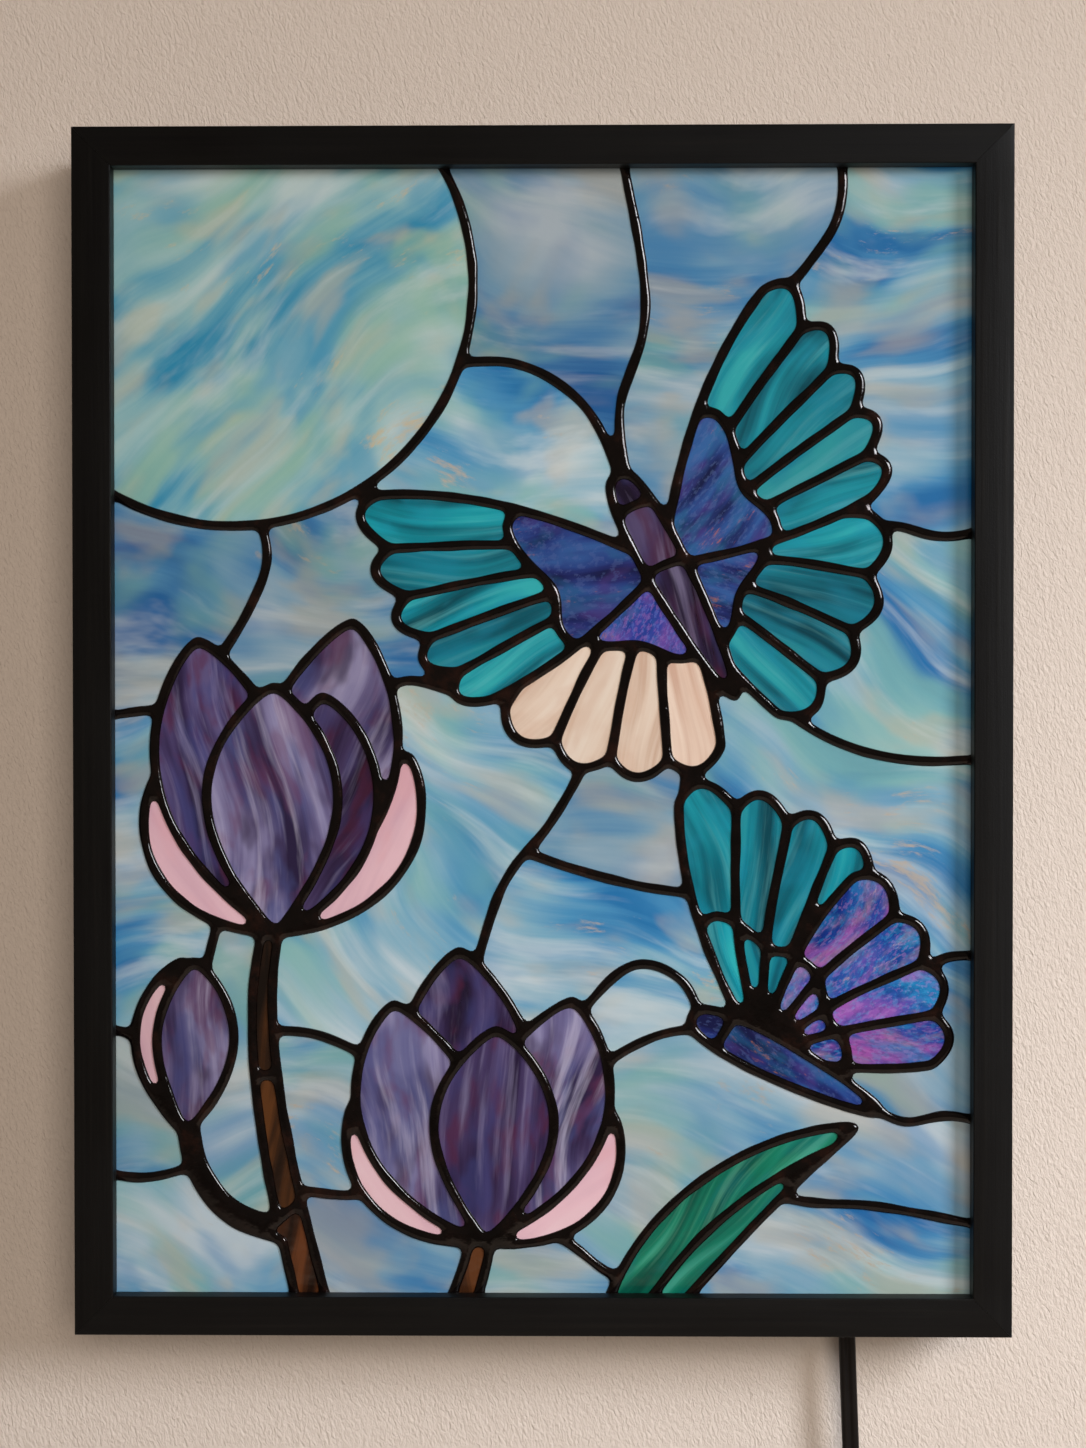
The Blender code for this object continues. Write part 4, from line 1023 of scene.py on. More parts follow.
glass_looks = {
    "sky": art_glass(
        "blue_and_white_opalescent_glass",
        ["#1f65a0", "#4685b2", "#74a0b9", "#90adbe", "#adbdc8"],
        streak=(105.0, 27.0),
        swirl=80.0,
        clouds=[("#74a8a2", 0.65, 34.0), ("#3f7fb0", 0.5, 26.0), ("#b3a68f", 0.4, 20.0)],
        wisps=("#c2ccd0", 0.5),
        flecks=("#aea190", 0.12, 7.0),
        vary=(0.75, 1.04),
    ),
    "disc": art_glass(
        "aqua_and_sand_opalescent_glass",
        ["#2b7aa0", "#558fa8", "#7aa3ac", "#8fafb3", "#a5b8bb"],
        streak=(85.0, 24.0),
        swirl=70.0,
        clouds=[("#7fa893", 0.6, 28.0), ("#3f85ab", 0.6, 24.0), ("#b3a98c", 0.4, 18.0)],
        wisps=("#b3c0c4", 0.4),
        flecks=("#b9a57f", 0.2, 8.0),
    ),
    "teal": art_glass(
        "teal_streaky_glass",
        ["#03424f", "#065f6f", "#0d8091", "#2799a1"],
        streak=(90.0, 9.0),
        clouds=[("#12829c", 0.5, 12.0)],
        wisps=("#5cadb3", 0.35),
        vary=(0.72, 1.25),
    ),
    "cobalt": art_glass(
        "cobalt_iridised_glass",
        ["#10173f", "#1a2862", "#22407f", "#2b5590"],
        streak=(30.0, 7.0),
        clouds=[("#3f2f72", 0.6, 8.0), ("#1e5c86", 0.5, 7.0)],
        grains=[("#4a5f92", 0.3)],
        flecks=("#a0613f", 0.2, 2.4),
        hammer=0.4,
    ),
    "violet_blue": art_glass(
        "violet_blue_iridised_glass",
        ["#11225e", "#1c3a8a", "#2f3f96", "#4a3f92"],
        streak=(28.0, 8.0),
        clouds=[("#6a4496", 0.6, 9.0), ("#1f6aa0", 0.4, 7.0)],
        grains=[("#5b74c0", 0.35), ("#8a5aa6", 0.35)],
        flecks=("#8c5a72", 0.2, 2.4),
        hammer=0.4,
    ),
    "mottled": art_glass(
        "magenta_and_blue_mottled_glass",
        ["#0b3076", "#153d88", "#264694", "#4f4496", "#7c4c9c"],
        streak=(28.0, 11.0),
        clouds=[("#1f7cb0", 0.6, 9.0), ("#a350a0", 0.5, 8.0), ("#94828a", 0.35, 6.0)],
        grains=[("#b07cc0", 0.2), ("#2c95c8", 0.22), ("#0c2560", 0.25)],
        flecks=("#b08f9c", 0.2, 3.0),
        hammer=0.7,
    ),
    "cream": art_glass(
        "cream_wispy_glass",
        ["#c3a190", "#d1b7a7", "#dcc6b7", "#e1d0c3"],
        streak=(90.0, 6.0),
        clouds=[("#c9a08c", 0.4, 12.0)],
        wisps=("#e2d3c6", 0.4),
    ),
    "violet": art_glass(
        "violet_wispy_glass",
        ["#231a38", "#413a60", "#615a80", "#7d789c", "#948fae"],
        streak=(80.0, 13.0),
        clouds=[("#2a1a38", 0.7, 13.0), ("#434a7c", 0.6, 15.0), ("#5e2c48", 0.4, 8.0)],
        wisps=("#aea9c2", 0.55),
        vary=(0.74, 1.18),
    ),
    "plum": art_glass(
        "plum_wispy_glass",
        ["#150d22", "#261b3a", "#3a2f54", "#50476e"],
        streak=(80.0, 12.0),
        clouds=[("#4a1c36", 0.55, 9.0), ("#34386a", 0.5, 12.0)],
        wisps=("#827b9e", 0.5),
        vary=(0.8, 1.25),
    ),
    "pink": art_glass(
        "pink_opal_glass",
        ["#bb93a4", "#c7a2b0", "#d2adb8", "#d4b4bd"],
        streak=(80.0, 18.0),
        clouds=[("#cf9ca4", 0.5, 14.0)],
    ),
    "stem": art_glass(
        "dark_amber_glass",
        ["#120a07", "#22130c", "#371e10", "#552f18"],
        streak=(50.0, 6.0),
        hammer=0.3,
    ),
    "emerald": art_glass(
        "emerald_streaky_glass",
        ["#053a30", "#085544", "#127058", "#36907a"],
        streak=(90.0, 8.0),
        clouds=[("#0c5f62", 0.5, 12.0)],
        wisps=("#66b094", 0.3),
    ),
}

# %% [markdown]
# A piece of glass is a plate, 3 mm thick. It reaches a little under the solder on every side, as glass does
# in its copper foil. Pieces that are one solid in the CAD model become one object, which replaces it.

# %% The pieces of glass
UNDER_SOLDER = 0.6 * MM
GLASS_FRONT, GLASS_REAR = PANEL_MIDDLE - GLASS / 2, PANEL_MIDDLE + GLASS / 2
HEADINGS = {
    "disc": 38.0,
    "leaf": 46.0,
    "tall_stem": 84.0,
    "short_stem": 80.0,
    "large_body": -62.0,
    "small_body": -27.0,
}
random_numbers = np.random.default_rng(11)


def streak_heading(name, middle):
    """Which way the streaks run in a piece: along a feather or petal, and freely in the sky."""
    if name.startswith("sky"):
        return random_numbers.uniform(-34.0, 8.0)
    for flower, (base, petals) in FLOWERS.items():
        if name.startswith(flower):
            heading, _, _, bend, _ = petals[int(name.rsplit("_", 1)[1]) - 1]
            return heading + bend / 2 + random_numbers.uniform(-14.0, 14.0)
    if "wing" in name:
        root = SMALL_ROOT if name in ("far_wing", "near_wing") else LARGE_ROOT
        way = middle - Vector(root) * MM
        return math.degrees(math.atan2(way.y, way.x))
    return HEADINGS[name]


for name, (glass, _) in regions.items():
    points, faces, streaks, tints = [], [], [], []
    for loop, hole in holes[name]:
        middle = centroid(hole)
        along = toward(streak_heading(name, middle))
        across = Vector((-along.y, along.x))
        offset = random_numbers.uniform(0.0, 400.0, 3)
        tint = random_numbers.uniform()
        spots, sides = slab([moved(hole, -UNDER_SOLDER)], GLASS_FRONT, GLASS_REAR)
        faces += [[v + len(points) for v in side] for side in sides]
        points += [(x, y, z + FRAME_MIDDLE) for x, y, z in spots]
        for x, y, z in spots:
            flat = Vector((x, z)) - middle
            depth = (y - GLASS_FRONT) / MM
            marks = (flat.dot(along) / MM, flat.dot(across) / MM, depth)
            streaks.append([mark + start for mark, start in zip(marks, offset)])
        tints += [tint] * len(spots)
    labels = {"vectors": {"streak": streaks}, "numbers": {"tint": tints}}
    made = piece(f"{name}_cut_glass", points, faces, glass_looks[glass], smooth=False, **labels)
    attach(made, "root")
    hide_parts(f"{name}_glass")
print("glass made:", len(regions), "objects")

# %% [markdown]
# ## The solder
# Each joint is copper foil covered with a rounded bead of solder, darkened with a black patina. A bead is
# highest along its middle and fills the corners where lines meet. So the whole web is one relief: its points
# lie on rings round every opening, and each point's height depends on how far it is from the nearest glass.

# %% The relief of the solder web
RINGS = (0.0, 0.22 * MM, 0.75 * MM)
HALF_BEAD = SOLDER_WIDTH / 2
LONG_WAVE, SHORT_WAVE = 17 * MM, 5 * MM  # how far apart the uneven spots of a bead are


def bead_height(reach, spot):
    """Height above the glass at a distance from the nearest opening, a little uneven as hand soldering is."""
    share = min(reach / HALF_BEAD, 1.0)
    long = noise.noise(Vector((*spot, 3.0)) / LONG_WAVE)
    short = noise.noise(Vector((*spot, 8.0)) / SHORT_WAVE)
    return SOLDER_PROUD * math.sqrt(1 - (1 - share) ** 2) * (0.93 + 0.09 * long + 0.05 * short)


def outside(openings, points, triangles):
    """The triangles that lie in none of the openings."""
    middles = np.array([sum((points[v] for v in t), Vector((0, 0))) / 3 for t in triangles])
    free = np.ones(len(triangles), bool)
    for hole in openings:
        corners = np.array(hole)
        near = np.flatnonzero(((middles > corners.min(0)) & (middles < corners.max(0))).all(1) & free)
        if len(near):
            free[near] = windings(hole, middles[near]) == 0
    return [t for t, is_free in zip(triangles, free) if is_free]


def web_relief(openings, centres):
    """The front of the web: its flat points, their heights as y, and its triangles."""
    edges, spots, reach_of = [], divided(rectangle(PANEL_WIDTH, PANEL_HEIGHT), 4 * MM), {}
    rings = [(reach, hole if reach == 0 else moved(hole, -reach)) for reach in RINGS for hole in openings]
    for reach, ring in rings + [(None, loop) for loop in centres]:
        edges += closed_edges(len(spots), len(ring))
        if reach is not None:
            reach_of.update({len(spots) + i: reach for i in range(len(ring))})
        spots += ring
    points, _, triangles, origins, _, _ = delaunay_2d_cdt(spots, edges, [], 0, 100 * MERGE, True)
    tree = kdtree.KDTree(sum(len(hole) for hole in openings))
    for hole in openings:
        for p in hole:
            tree.insert((*p, 0.0), 0)
    tree.balance()
    levels = []
    for p, sources in zip(points, origins):
        known = [reach_of[i] for i in sources if i in reach_of]
        reach = known[0] if known else tree.find((*p, 0.0))[2]
        levels.append(GLASS_FRONT - bead_height(reach, p))
    return points, levels, outside(openings, points, triangles)


def solder_web():
    """Points and faces of the web: the relief in front, flat behind, closed round every opening."""
    openings = [hole for pairs in holes.values() for _, hole in pairs]
    centres = [loop for pairs in holes.values() for loop, _ in pairs]
    points, levels, kept = web_relief(openings, centres)
    rims, rim_spots = [], []
    for loop in boundary_loops(kept, range(len(kept)), points):
        rims += closed_edges(len(rim_spots), len(loop))
        rim_spots += loop
    rear_points, _, rear_triangles, *_ = delaunay_2d_cdt(rim_spots, rims, [], 0, MERGE, False)
    rear_kept = outside(openings, rear_points, rear_triangles)
    count = len(points)
    behind = {(round(p.x, 7), round(p.y, 7)): count + i for i, p in enumerate(rear_points)}
    solid = [list(t) for t in kept] + [[count + v for v in reversed(t)] for t in rear_kept]
    for a, b in rim(kept):
        solid.append([b, a, *(behind[(round(points[v].x, 7), round(points[v].y, 7))] for v in (a, b))])
    levels += [GLASS_REAR + SOLDER_PROUD] * len(rear_points)
    places = [(p.x, y, p.y + FRAME_MIDDLE) for p, y in zip([*points, *rear_points], levels)]
    return without_loose(places, solid)


def patina_material():
    """Tin-lead solder under a black patina: a soft dark metal, brown where the patina is thin."""
    made, tree, shader = new_material("black_patina_solder", Metallic=0.5, IOR=1.65)
    place = add_node(tree, "ShaderNodeTexCoord").outputs["Object"]
    blotches = {"Vector": place, "Scale": 90.0, "Detail": 5.0, "Roughness": 0.65}
    cloud = add_node(tree, "ShaderNodeTexNoise", blotches).outputs["Fac"]
    stops = [(0.38, "#080505"), (0.55, "#120b0a"), (0.72, "#2d1812")]
    paint = add_node(tree, "ShaderNodeValToRGB", {"Fac": cloud}, ramp=stops).outputs["Color"]
    # solder sets with ripples about 3 mm apart, which break up its highlights
    ripple = add_node(tree, "ShaderNodeTexNoise", {"Vector": place, "Scale": 330.0, "Detail": 4.0})
    relief = (ripple.outputs["Fac"], 0.35, 0.4 * MM)
    finish(tree, shader, paint, cloud, (0.04, 0.13), relief, span=(0.3, 0.7))
    return made


web_points, web_faces = solder_web()
web = piece("solder_web", web_points, web_faces, patina_material())
web.data.set_sharp_from_angle(angle=math.radians(70))
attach(web, "root")
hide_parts("solder_lattice")
print("solder:", len(web_faces), "faces")

# %% [markdown]
# ## The wooden frame
# Four rails of a fine-grained hardwood, stained black and rubbed to a satin finish, meet in mitres. A rail is
# one section carried from mitre to mitre. The section has the groove that holds the panel. The grain runs
# along each rail, so the mesh carries an attribute with the distance along and round the rail.

# %% The rails
GROOVE_FRONT = lattice_low.y - 0.3 * MM
GROOVE_REAR = lattice_high.y + 0.3 * MM
GROOVE_BOTTOM = OUTSIDE - PANEL_WIDTH / 2 - 0.5 * MM
RAIL_EDGE = 0.5 * MM
MITRE_GAP = 0.05 * MM
RAIL_STATIONS = 24


def rail_section():
    """The section as (distance in from the frame's outline, y), round from the groove's bottom."""

    def corner(middle, start, steps=6):
        turns = [math.radians(start + 90 * k / steps) for k in range(steps + 1)]
        return [(middle[0] + RAIL_EDGE * math.cos(a), middle[1] + RAIL_EDGE * math.sin(a)) for a in turns]

    inner, front, rear = RAIL_FACE - RAIL_EDGE, RAIL_FRONT + RAIL_EDGE, RAIL_REAR - RAIL_EDGE
    middle = (GROOVE_FRONT + GROOVE_REAR) / 2
    return [
        (GROOVE_BOTTOM, middle),
        (GROOVE_BOTTOM, GROOVE_REAR),
        (RAIL_FACE, GROOVE_REAR),
        (RAIL_FACE, RAIL_REAR),
        *corner((RAIL_EDGE, rear), 90),
        *corner((RAIL_EDGE, front), 180),
        *corner((inner, front), 270),
        (RAIL_FACE, GROOVE_FRONT),
        (GROOVE_BOTTOM, GROOVE_FRONT),
        (GROOVE_BOTTOM, middle - 0.01 * MM),
    ]


def rail_mesh(length, turn, seed):
    """A rail's points, faces and grain; turn is its angle about Y in degrees, 0 for the bottom one."""
    section = rail_section()
    round_the_rail = [0.0]
    for (x0, y0), (x1, y1) in zip(section, section[1:]):
        round_the_rail.append(round_the_rail[-1] + math.hypot(x1 - x0, y1 - y0))
    away = (2 * OUTSIDE + FRAME_TOP - FRAME_BOTTOM - length) / 2
    spin = Matrix.Rotation(math.radians(turn), 3, "Y")
    rings, grain = [], []
    for s in range(RAIL_STATIONS + 1):
        share = 2 * s / RAIL_STATIONS - 1
        ring = []
        for (inward, y), reach in zip(section, round_the_rail):
            along = share * (length / 2 - inward - MITRE_GAP / math.sqrt(2))
            ring.append(spin @ Vector((along, y, inward - away)) + Vector((0, 0, FRAME_MIDDLE)))
            grain.append((along / MM + seed, reach / MM, seed * 0.37))
        rings.append(ring)
    points, faces = lofted(rings)
    ends = [(length / 2 * side / MM + seed, 0.0, seed * 0.37) for side in (-1, 1)]
    return points, faces, grain + ends


def wood_material():
    """Maple stained black with a satin lacquer: the grain shows only as a faint long ripple in the sheen."""
    lacquer = {"Coat_Weight": 0.02, "Coat_Roughness": 0.3}
    made, tree, shader = new_material("black_stained_maple", IOR=1.5, Specular_IOR_Level=0.2, **lacquer)
    where = add_node(tree, "ShaderNodeAttribute", attribute_name="grain").outputs["Vector"]
    slim = {0: where, 1: (0.012, 0.55, 1.0)}
    along = add_node(tree, "ShaderNodeVectorMath", slim, operation="MULTIPLY").outputs[0]
    fine = {"Vector": along, "Scale": 1.0, "Detail": 6.0, "Roughness": 0.6}
    fibre = add_node(tree, "ShaderNodeTexNoise", fine).outputs["Fac"]
    dust, haze = (
        add_node(tree, "ShaderNodeTexNoise", {"Vector": where, "Scale": scale, "Detail": 3.0}).outputs["Fac"]
        for scale in (1 / 0.5, 1 / 45.0)
    )
    stops = [(0.30, "#060505"), (0.55, "#0a0908"), (0.75, "#100e0c")]
    paint = add_node(tree, "ShaderNodeValToRGB", {"Fac": fibre}, ramp=stops).outputs["Color"]
    height = add_node(tree, "ShaderNodeMath", {0: dust, 1: 0.35, 2: fibre}, operation="MULTIPLY_ADD")
    relief = (height.outputs[0], 0.35, 0.3 * MM)
    finish(tree, shader, paint, haze, (0.42, 0.56), relief, span=(0.3, 0.7))
    return made


wood = wood_material()
for side, length, turn, seed in (
    ("bottom", 2 * OUTSIDE, 0, 130.0),
    ("right", FRAME_TOP - FRAME_BOTTOM, -90, 610.0),
    ("top", 2 * OUTSIDE, 180, 940.0),
    ("left", FRAME_TOP - FRAME_BOTTOM, 90, 1470.0),
):
    points, faces, grain = rail_mesh(length, turn, seed)
    rail = piece(f"maple_rail_{side}", points, faces, wood, True, {"grain": grain})
    rail.data.set_sharp_from_angle(angle=math.radians(40))
    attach(rail, "root")
    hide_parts(f"frame_rail_{side}")

# %% [markdown]
# ## The back
# A thin hardboard panel closes the box. It is screwed to the rails, and carries the saw-tooth hanger and two
# rubber bumpers that keep the box level and off the wall. Screws repeat, so Geometry Nodes make them: one
# head is built in the tree and set on every point of a small mesh that only holds their places.

# %% The hardboard and the hanger


def board_material():
    """Black-painted hardboard: pressed wood fibre, matt, with the faint felt of its fibres."""
    made, tree, shader = new_material("black_painted_hardboard", IOR=1.48)
    place = add_node(tree, "ShaderNodeTexCoord").outputs["Object"]
    felt = {"Vector": place, "Scale": 700.0, "Detail": 5.0, "Distortion": 1.5}
    fibre = add_node(tree, "ShaderNodeTexNoise", felt).outputs["Fac"]
    cloud = add_node(tree, "ShaderNodeTexNoise", {"Vector": place, "Scale": 14.0, "Detail": 4.0})
    stops = [(0.35, "#1b1918"), (0.65, "#262321")]
    paint = add_node(tree, "ShaderNodeValToRGB", {"Fac": cloud.outputs["Fac"]}, ramp=stops).outputs["Color"]
    finish(tree, shader, paint, fibre, (0.66, 0.88), (fibre, 0.5, 0.3 * MM))
    return made


def plated_metal(name, dark, light, stretch, gloss, depth):
    """Plated sheet metal: bright, with the faint lines of rolling, of that depth in metres.

    stretch is how many times a metre the lines change along x, y and z.
    """
    made, tree, shader = new_material(name, Metallic=1.0)
    place = add_node(tree, "ShaderNodeTexCoord").outputs["Object"]
    drawn = add_node(tree, "ShaderNodeVectorMath", {0: place, 1: stretch}, operation="MULTIPLY").outputs[0]
    fine = {"Vector": drawn, "Scale": 1.0, "Detail": 3.0}
    lines = add_node(tree, "ShaderNodeTexNoise", fine).outputs["Fac"]
    stops = [(0.3, dark), (0.7, light)]
    paint = add_node(tree, "ShaderNodeValToRGB", {"Fac": lines}, ramp=stops).outputs["Color"]
    finish(tree, shader, paint, lines, gloss, (lines, 0.2, depth) if depth else None)
    return made


board_low, board_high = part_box("back_board")
board_size, board_middle = board_high - board_low, (board_low + board_high) / 2
outline = [corner + board_middle.xz for corner in rectangle(board_size.x, board_size.z)]
board = piece("hardboard_back", *slab([outline], board_low.y, board_high.y), board_material(), False)
board = eased(board, 0.5 * MM, 3)
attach(board, "root")
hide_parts("back_board")
rolled = ((60.0, 900.0, 1500.0), (0.24, 0.42), 0.1 * MM)
zinc = plated_metal("zinc_plated_steel", "#9a9d9c", "#b9bbb8", *rolled)
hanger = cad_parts["hanger"]
hanger.data.materials.clear()
hanger.data.materials.append(zinc)

# %% The screws and the hanger's nails, with Geometry Nodes


def fastener_tree():
    """Sets a domed head, with or without a cross recess, on every point of the mesh that it is given."""
    tree = bpy.data.node_groups.new("fasteners", "GeometryNodeTree")
    face = tree.interface
    face.new_socket("Places", in_out="INPUT", socket_type="NodeSocketGeometry")
    for label, kind, value in (
        ("Head radius", "NodeSocketFloat", 2.8 * MM),
        ("Head height", "NodeSocketFloat", 1.4 * MM),
        ("Recess depth", "NodeSocketFloat", 0.9 * MM),
        ("Material", "NodeSocketMaterial", None),
    ):
        socket = face.new_socket(label, in_out="INPUT", socket_type=kind)
        if value is not None:
            socket.default_value = value
    face.new_socket("Heads", in_out="OUTPUT", socket_type="NodeSocketGeometry")
    given = add_node(tree, "NodeGroupInput").outputs
    result = add_node(tree, "NodeGroupOutput")
    dome = add_node(tree, "GeometryNodeMeshUVSphere", {"Segments": 24, "Rings": 16, "Radius": 1.0})
    radius, height = given["Head radius"], given["Head height"]
    size = add_node(tree, "ShaderNodeCombineXYZ", {"X": radius, "Y": height, "Z": radius}).outputs[0]
    head = add_node(tree, "GeometryNodeTransform", {"Geometry": dome.outputs["Mesh"], "Scale": size})
    depth, long, narrow = (
        add_node(tree, "ShaderNodeMath", {0: given[label], 1: factor}, operation="MULTIPLY").outputs[0]
        for label, factor in (("Recess depth", 2.0), ("Head radius", 1.1), ("Head radius", 0.26))
    )
    slots = []
    for sides in ({"X": long, "Z": narrow}, {"X": narrow, "Z": long}):
        box_size = add_node(tree, "ShaderNodeCombineXYZ", {**sides, "Y": depth})
        slots.append(add_node(tree, "GeometryNodeMeshCube", {"Size": box_size.outputs[0]}).outputs["Mesh"])
    cross = add_node(tree, "GeometryNodeMeshBoolean", operation="UNION", solver="EXACT")
    for slot in slots:
        tree.links.new(slot, cross.inputs["Mesh 2"])
    lift = add_node(tree, "ShaderNodeCombineXYZ", {"Y": height}).outputs[0]
    raised = add_node(tree, "GeometryNodeTransform", {"Geometry": cross.outputs["Mesh"], "Translation": lift})
    whole_head = head.outputs["Geometry"]
    cut = {"operation": "DIFFERENCE", "solver": "EXACT"}
    carved = add_node(tree, "GeometryNodeMeshBoolean", {"Mesh 1": whole_head}, **cut)
    tree.links.new(raised.outputs["Geometry"], carved.inputs["Mesh 2"])
    least = {0: given["Recess depth"], 1: 0.01 * MM}
    deep = add_node(tree, "FunctionNodeCompare", least, operation="GREATER_THAN").outputs[0]
    either = {"Switch": deep, "False": whole_head, "True": carved.outputs["Mesh"]}
    chosen = add_node(tree, "GeometryNodeSwitch", either, input_type="GEOMETRY").outputs[0]
    whole = add_node(tree, "GeometryNodeMergeByDistance", {"Geometry": chosen, "Distance": 0.002 * MM})
    turns = {0: (0.0, 0.0, 0.0), 1: (0.0, 1.4, 0.0), "Seed": 5}
    turn = add_node(tree, "FunctionNodeRandomValue", turns, data_type="FLOAT_VECTOR").outputs[0]
    angles = add_node(tree, "FunctionNodeEulerToRotation", {"Euler": turn}).outputs[0]
    copies = {"Points": given["Places"], "Instance": whole.outputs["Geometry"], "Rotation": angles}
    spread = add_node(tree, "GeometryNodeInstanceOnPoints", copies).outputs["Instances"]
    real = add_node(tree, "GeometryNodeRealizeInstances", {"Geometry": spread}).outputs["Geometry"]
    dressed = add_node(tree, "GeometryNodeSetMaterial", {"Geometry": real, "Material": given["Material"]})
    tree.links.new(dressed.outputs["Geometry"], result.inputs["Heads"])
    return tree


def fasteners(name, places, material, radius, height, recess):
    """A mesh of fastener heads at the places, made by the tree with these sizes."""
    mesh = bpy.data.meshes.new(name)
    mesh.from_pydata(places, [], [])
    item = placed(name, mesh)
    modifier = item.modifiers.new("heads", "NODES")
    modifier.node_group = heads
    given = {"Head radius": radius, "Head height": height, "Recess depth": recess, "Material": material}
    for socket in heads.interface.items_tree:
        if socket.name in given:
            modifier[socket.identifier] = given[socket.name]
    return settled(item)


heads = fastener_tree()
steel = plated_metal("black_oxide_steel", "#2b2a29", "#403e3c", *rolled)
SCREW_INSET = 7.0 * MM
SCREW_X = 70.0 * MM
SIDE_ROWS = [k / 4 for k in (0.35, 1.5, 2.5, 3.65)]
screw_low, screw_high = FRAME_BOTTOM + SCREW_INSET, FRAME_TOP - SCREW_INSET
rows_z = [screw_low + (screw_high - screw_low) * share for share in SIDE_ROWS]
screw_places = [(side * (OUTSIDE - SCREW_INSET), BOARD_REAR, z) for side in (-1, 1) for z in rows_z]
screw_places += [(x, BOARD_REAR, z) for x in (-SCREW_X, SCREW_X) for z in (screw_high, screw_low)]
nail_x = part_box("hanger")[1].x - 3.2 * MM
FOOT_REAR = BOARD_REAR + 1.3 * MM  # the rear face of the hanger's feet, which the nails hold down
nail_places = [(side * nail_x, FOOT_REAR, 0.0) for side in (-1, 1)]
screws = fasteners("back_screws", screw_places, steel, 2.8 * MM, 1.4 * MM, 0.9 * MM)
nails = fasteners("hanger_nails", nail_places, zinc, 1.7 * MM, 0.6 * MM, 0.0)
for item in (screws, nails):
    item.data.shade_smooth()
    item.data.set_sharp_from_angle(angle=math.radians(35))
    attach(item, "root")
    print(item.name, len(item.data.polygons), "faces")

# %% [markdown]
# ## Rubber parts
# The bumpers and the grommet are turned shapes: a section carried round an axis. The grommet's bore isn't
# round but a slot, because the cord is flat, so its section changes with the direction.

# %% The bumpers and the grommet


def moulded_material(name, dark, light, rough, grain_mm, shine=0.5):
    """Moulded black rubber or vinyl: a soft sheen with the fine grain of the mould."""
    made, tree, shader = new_material(name, IOR=1.5, Specular_IOR_Level=shine)
    place = add_node(tree, "ShaderNodeTexCoord").outputs["Object"]
    grain, cloud = (
        add_node(tree, "ShaderNodeTexNoise", {"Vector": place, "Scale": scale, "Detail": 3.0}).outputs["Fac"]
        for scale in (1000 / grain_mm, 60.0)
    )
    stops = [(0.35, dark), (0.65, light)]
    paint = add_node(tree, "ShaderNodeValToRGB", {"Fac": cloud}, ramp=stops).outputs["Color"]
    finish(tree, shader, paint, cloud, (rough * 0.85, rough * 1.15), (grain, 0.3, 0.2 * MM))
    return made


rubber = moulded_material("black_rubber", "#121212", "#1c1b1b", 0.62, 0.5)
vinyl = moulded_material("black_vinyl_sheath", "#070505", "#0d0a09", 0.36, 0.4, 0.3)
DOME_RINGS, BUMPER_FOOT, DOME_BEND = 12, 0.1, 1.25  # rings, the straight share of the height, radians


def bumper_rings(low, high, sides=40):
    """Rings round the y axis: straight at the foot, then a dome."""
    radius, height = (high.x - low.x) / 2, high.y - low.y
    turns = [2 * math.pi * k / sides for k in range(sides)]
    rings = []
    for share in (step / DOME_RINGS for step in range(DOME_RINGS + 1)):
        bend = max((share - BUMPER_FOOT) / (1 - BUMPER_FOOT), 0.0) * DOME_BEND
        across = radius * math.cos(bend) ** 0.6
        middle = Vector(((low.x + high.x) / 2, low.y + height * share, (low.z + high.z) / 2))
        rings.append([middle + Vector((math.cos(a), 0.0, math.sin(a))) * across for a in turns])
    return rings


points, faces = [], []
for side in ("left", "right"):
    some_points, some_faces = lofted(bumper_rings(*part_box(f"bumper_{side}")))
    faces += [[v + len(points) for v in face] for face in some_faces]
    points += some_points
bumpers = piece("rubber_bumpers", points, faces, rubber)
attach(bumpers, "root")
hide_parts("bumper_left", "bumper_right")

FLANGE = (grommet_high.x - grommet_low.x) / 2
FLANGE_HEIGHT = 1.8 * MM
NECK = FLANGE - 2.5 * MM
CLEARANCE = 0.3 * MM
SLOT_HALF_WIDTH, SLOT_HALF_DEPTH = CORD_WIDTH / 2 + CLEARANCE, CORD_THICKNESS / 2 + CLEARANCE


def grommet_section(angle):
    """Closed section at a direction: the slot's wall inside, the flanges and the neck outside."""
    straight = SLOT_HALF_WIDTH - SLOT_HALF_DEPTH
    side, front = abs(math.cos(angle)), abs(math.sin(angle))
    bore = SLOT_HALF_DEPTH / max(front, 1e-6)
    if bore * side > straight:
        bore = straight * side + math.sqrt(max(SLOT_HALF_DEPTH**2 - (straight * front) ** 2, 0.0))
    low, high = grommet_low.z, grommet_high.z
    lip = 0.7 * MM
    return [
        (bore, low + lip),
        (bore + 0.2 * MM, low + 0.2 * MM),
        (bore + lip, low),
        (FLANGE - lip, low),
        (FLANGE - 0.2 * MM, low + 0.2 * MM),
        (FLANGE, low + lip),
        (FLANGE, low + FLANGE_HEIGHT),
        (NECK, low + FLANGE_HEIGHT),
        (NECK, high - FLANGE_HEIGHT),
        (FLANGE, high - FLANGE_HEIGHT),
        (FLANGE, high - lip),
        (FLANGE - lip, high),
        (bore + lip, high),
        (bore, high - lip),
    ]


DIRECTIONS = 64
directions = [2 * math.pi * k / DIRECTIONS for k in range(DIRECTIONS)]
rings = [
    [Vector((CORD_X + r * math.cos(a), CORD_Y + r * math.sin(a), z)) for r, z in grommet_section(a)]
    for a in directions
]
points, faces = lofted([*rings, rings[0]], closed_ends=False)
# the last ring is the first one again, so its points give way to the first ring's
count = DIRECTIONS * len(rings[0])
faces = [[v % count for v in face] for face in faces]
grommet = piece("rubber_grommet", points[:count], faces, rubber)
grommet.data.set_sharp_from_angle(angle=math.radians(50))
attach(grommet, "root")
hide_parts("cord_grommet")

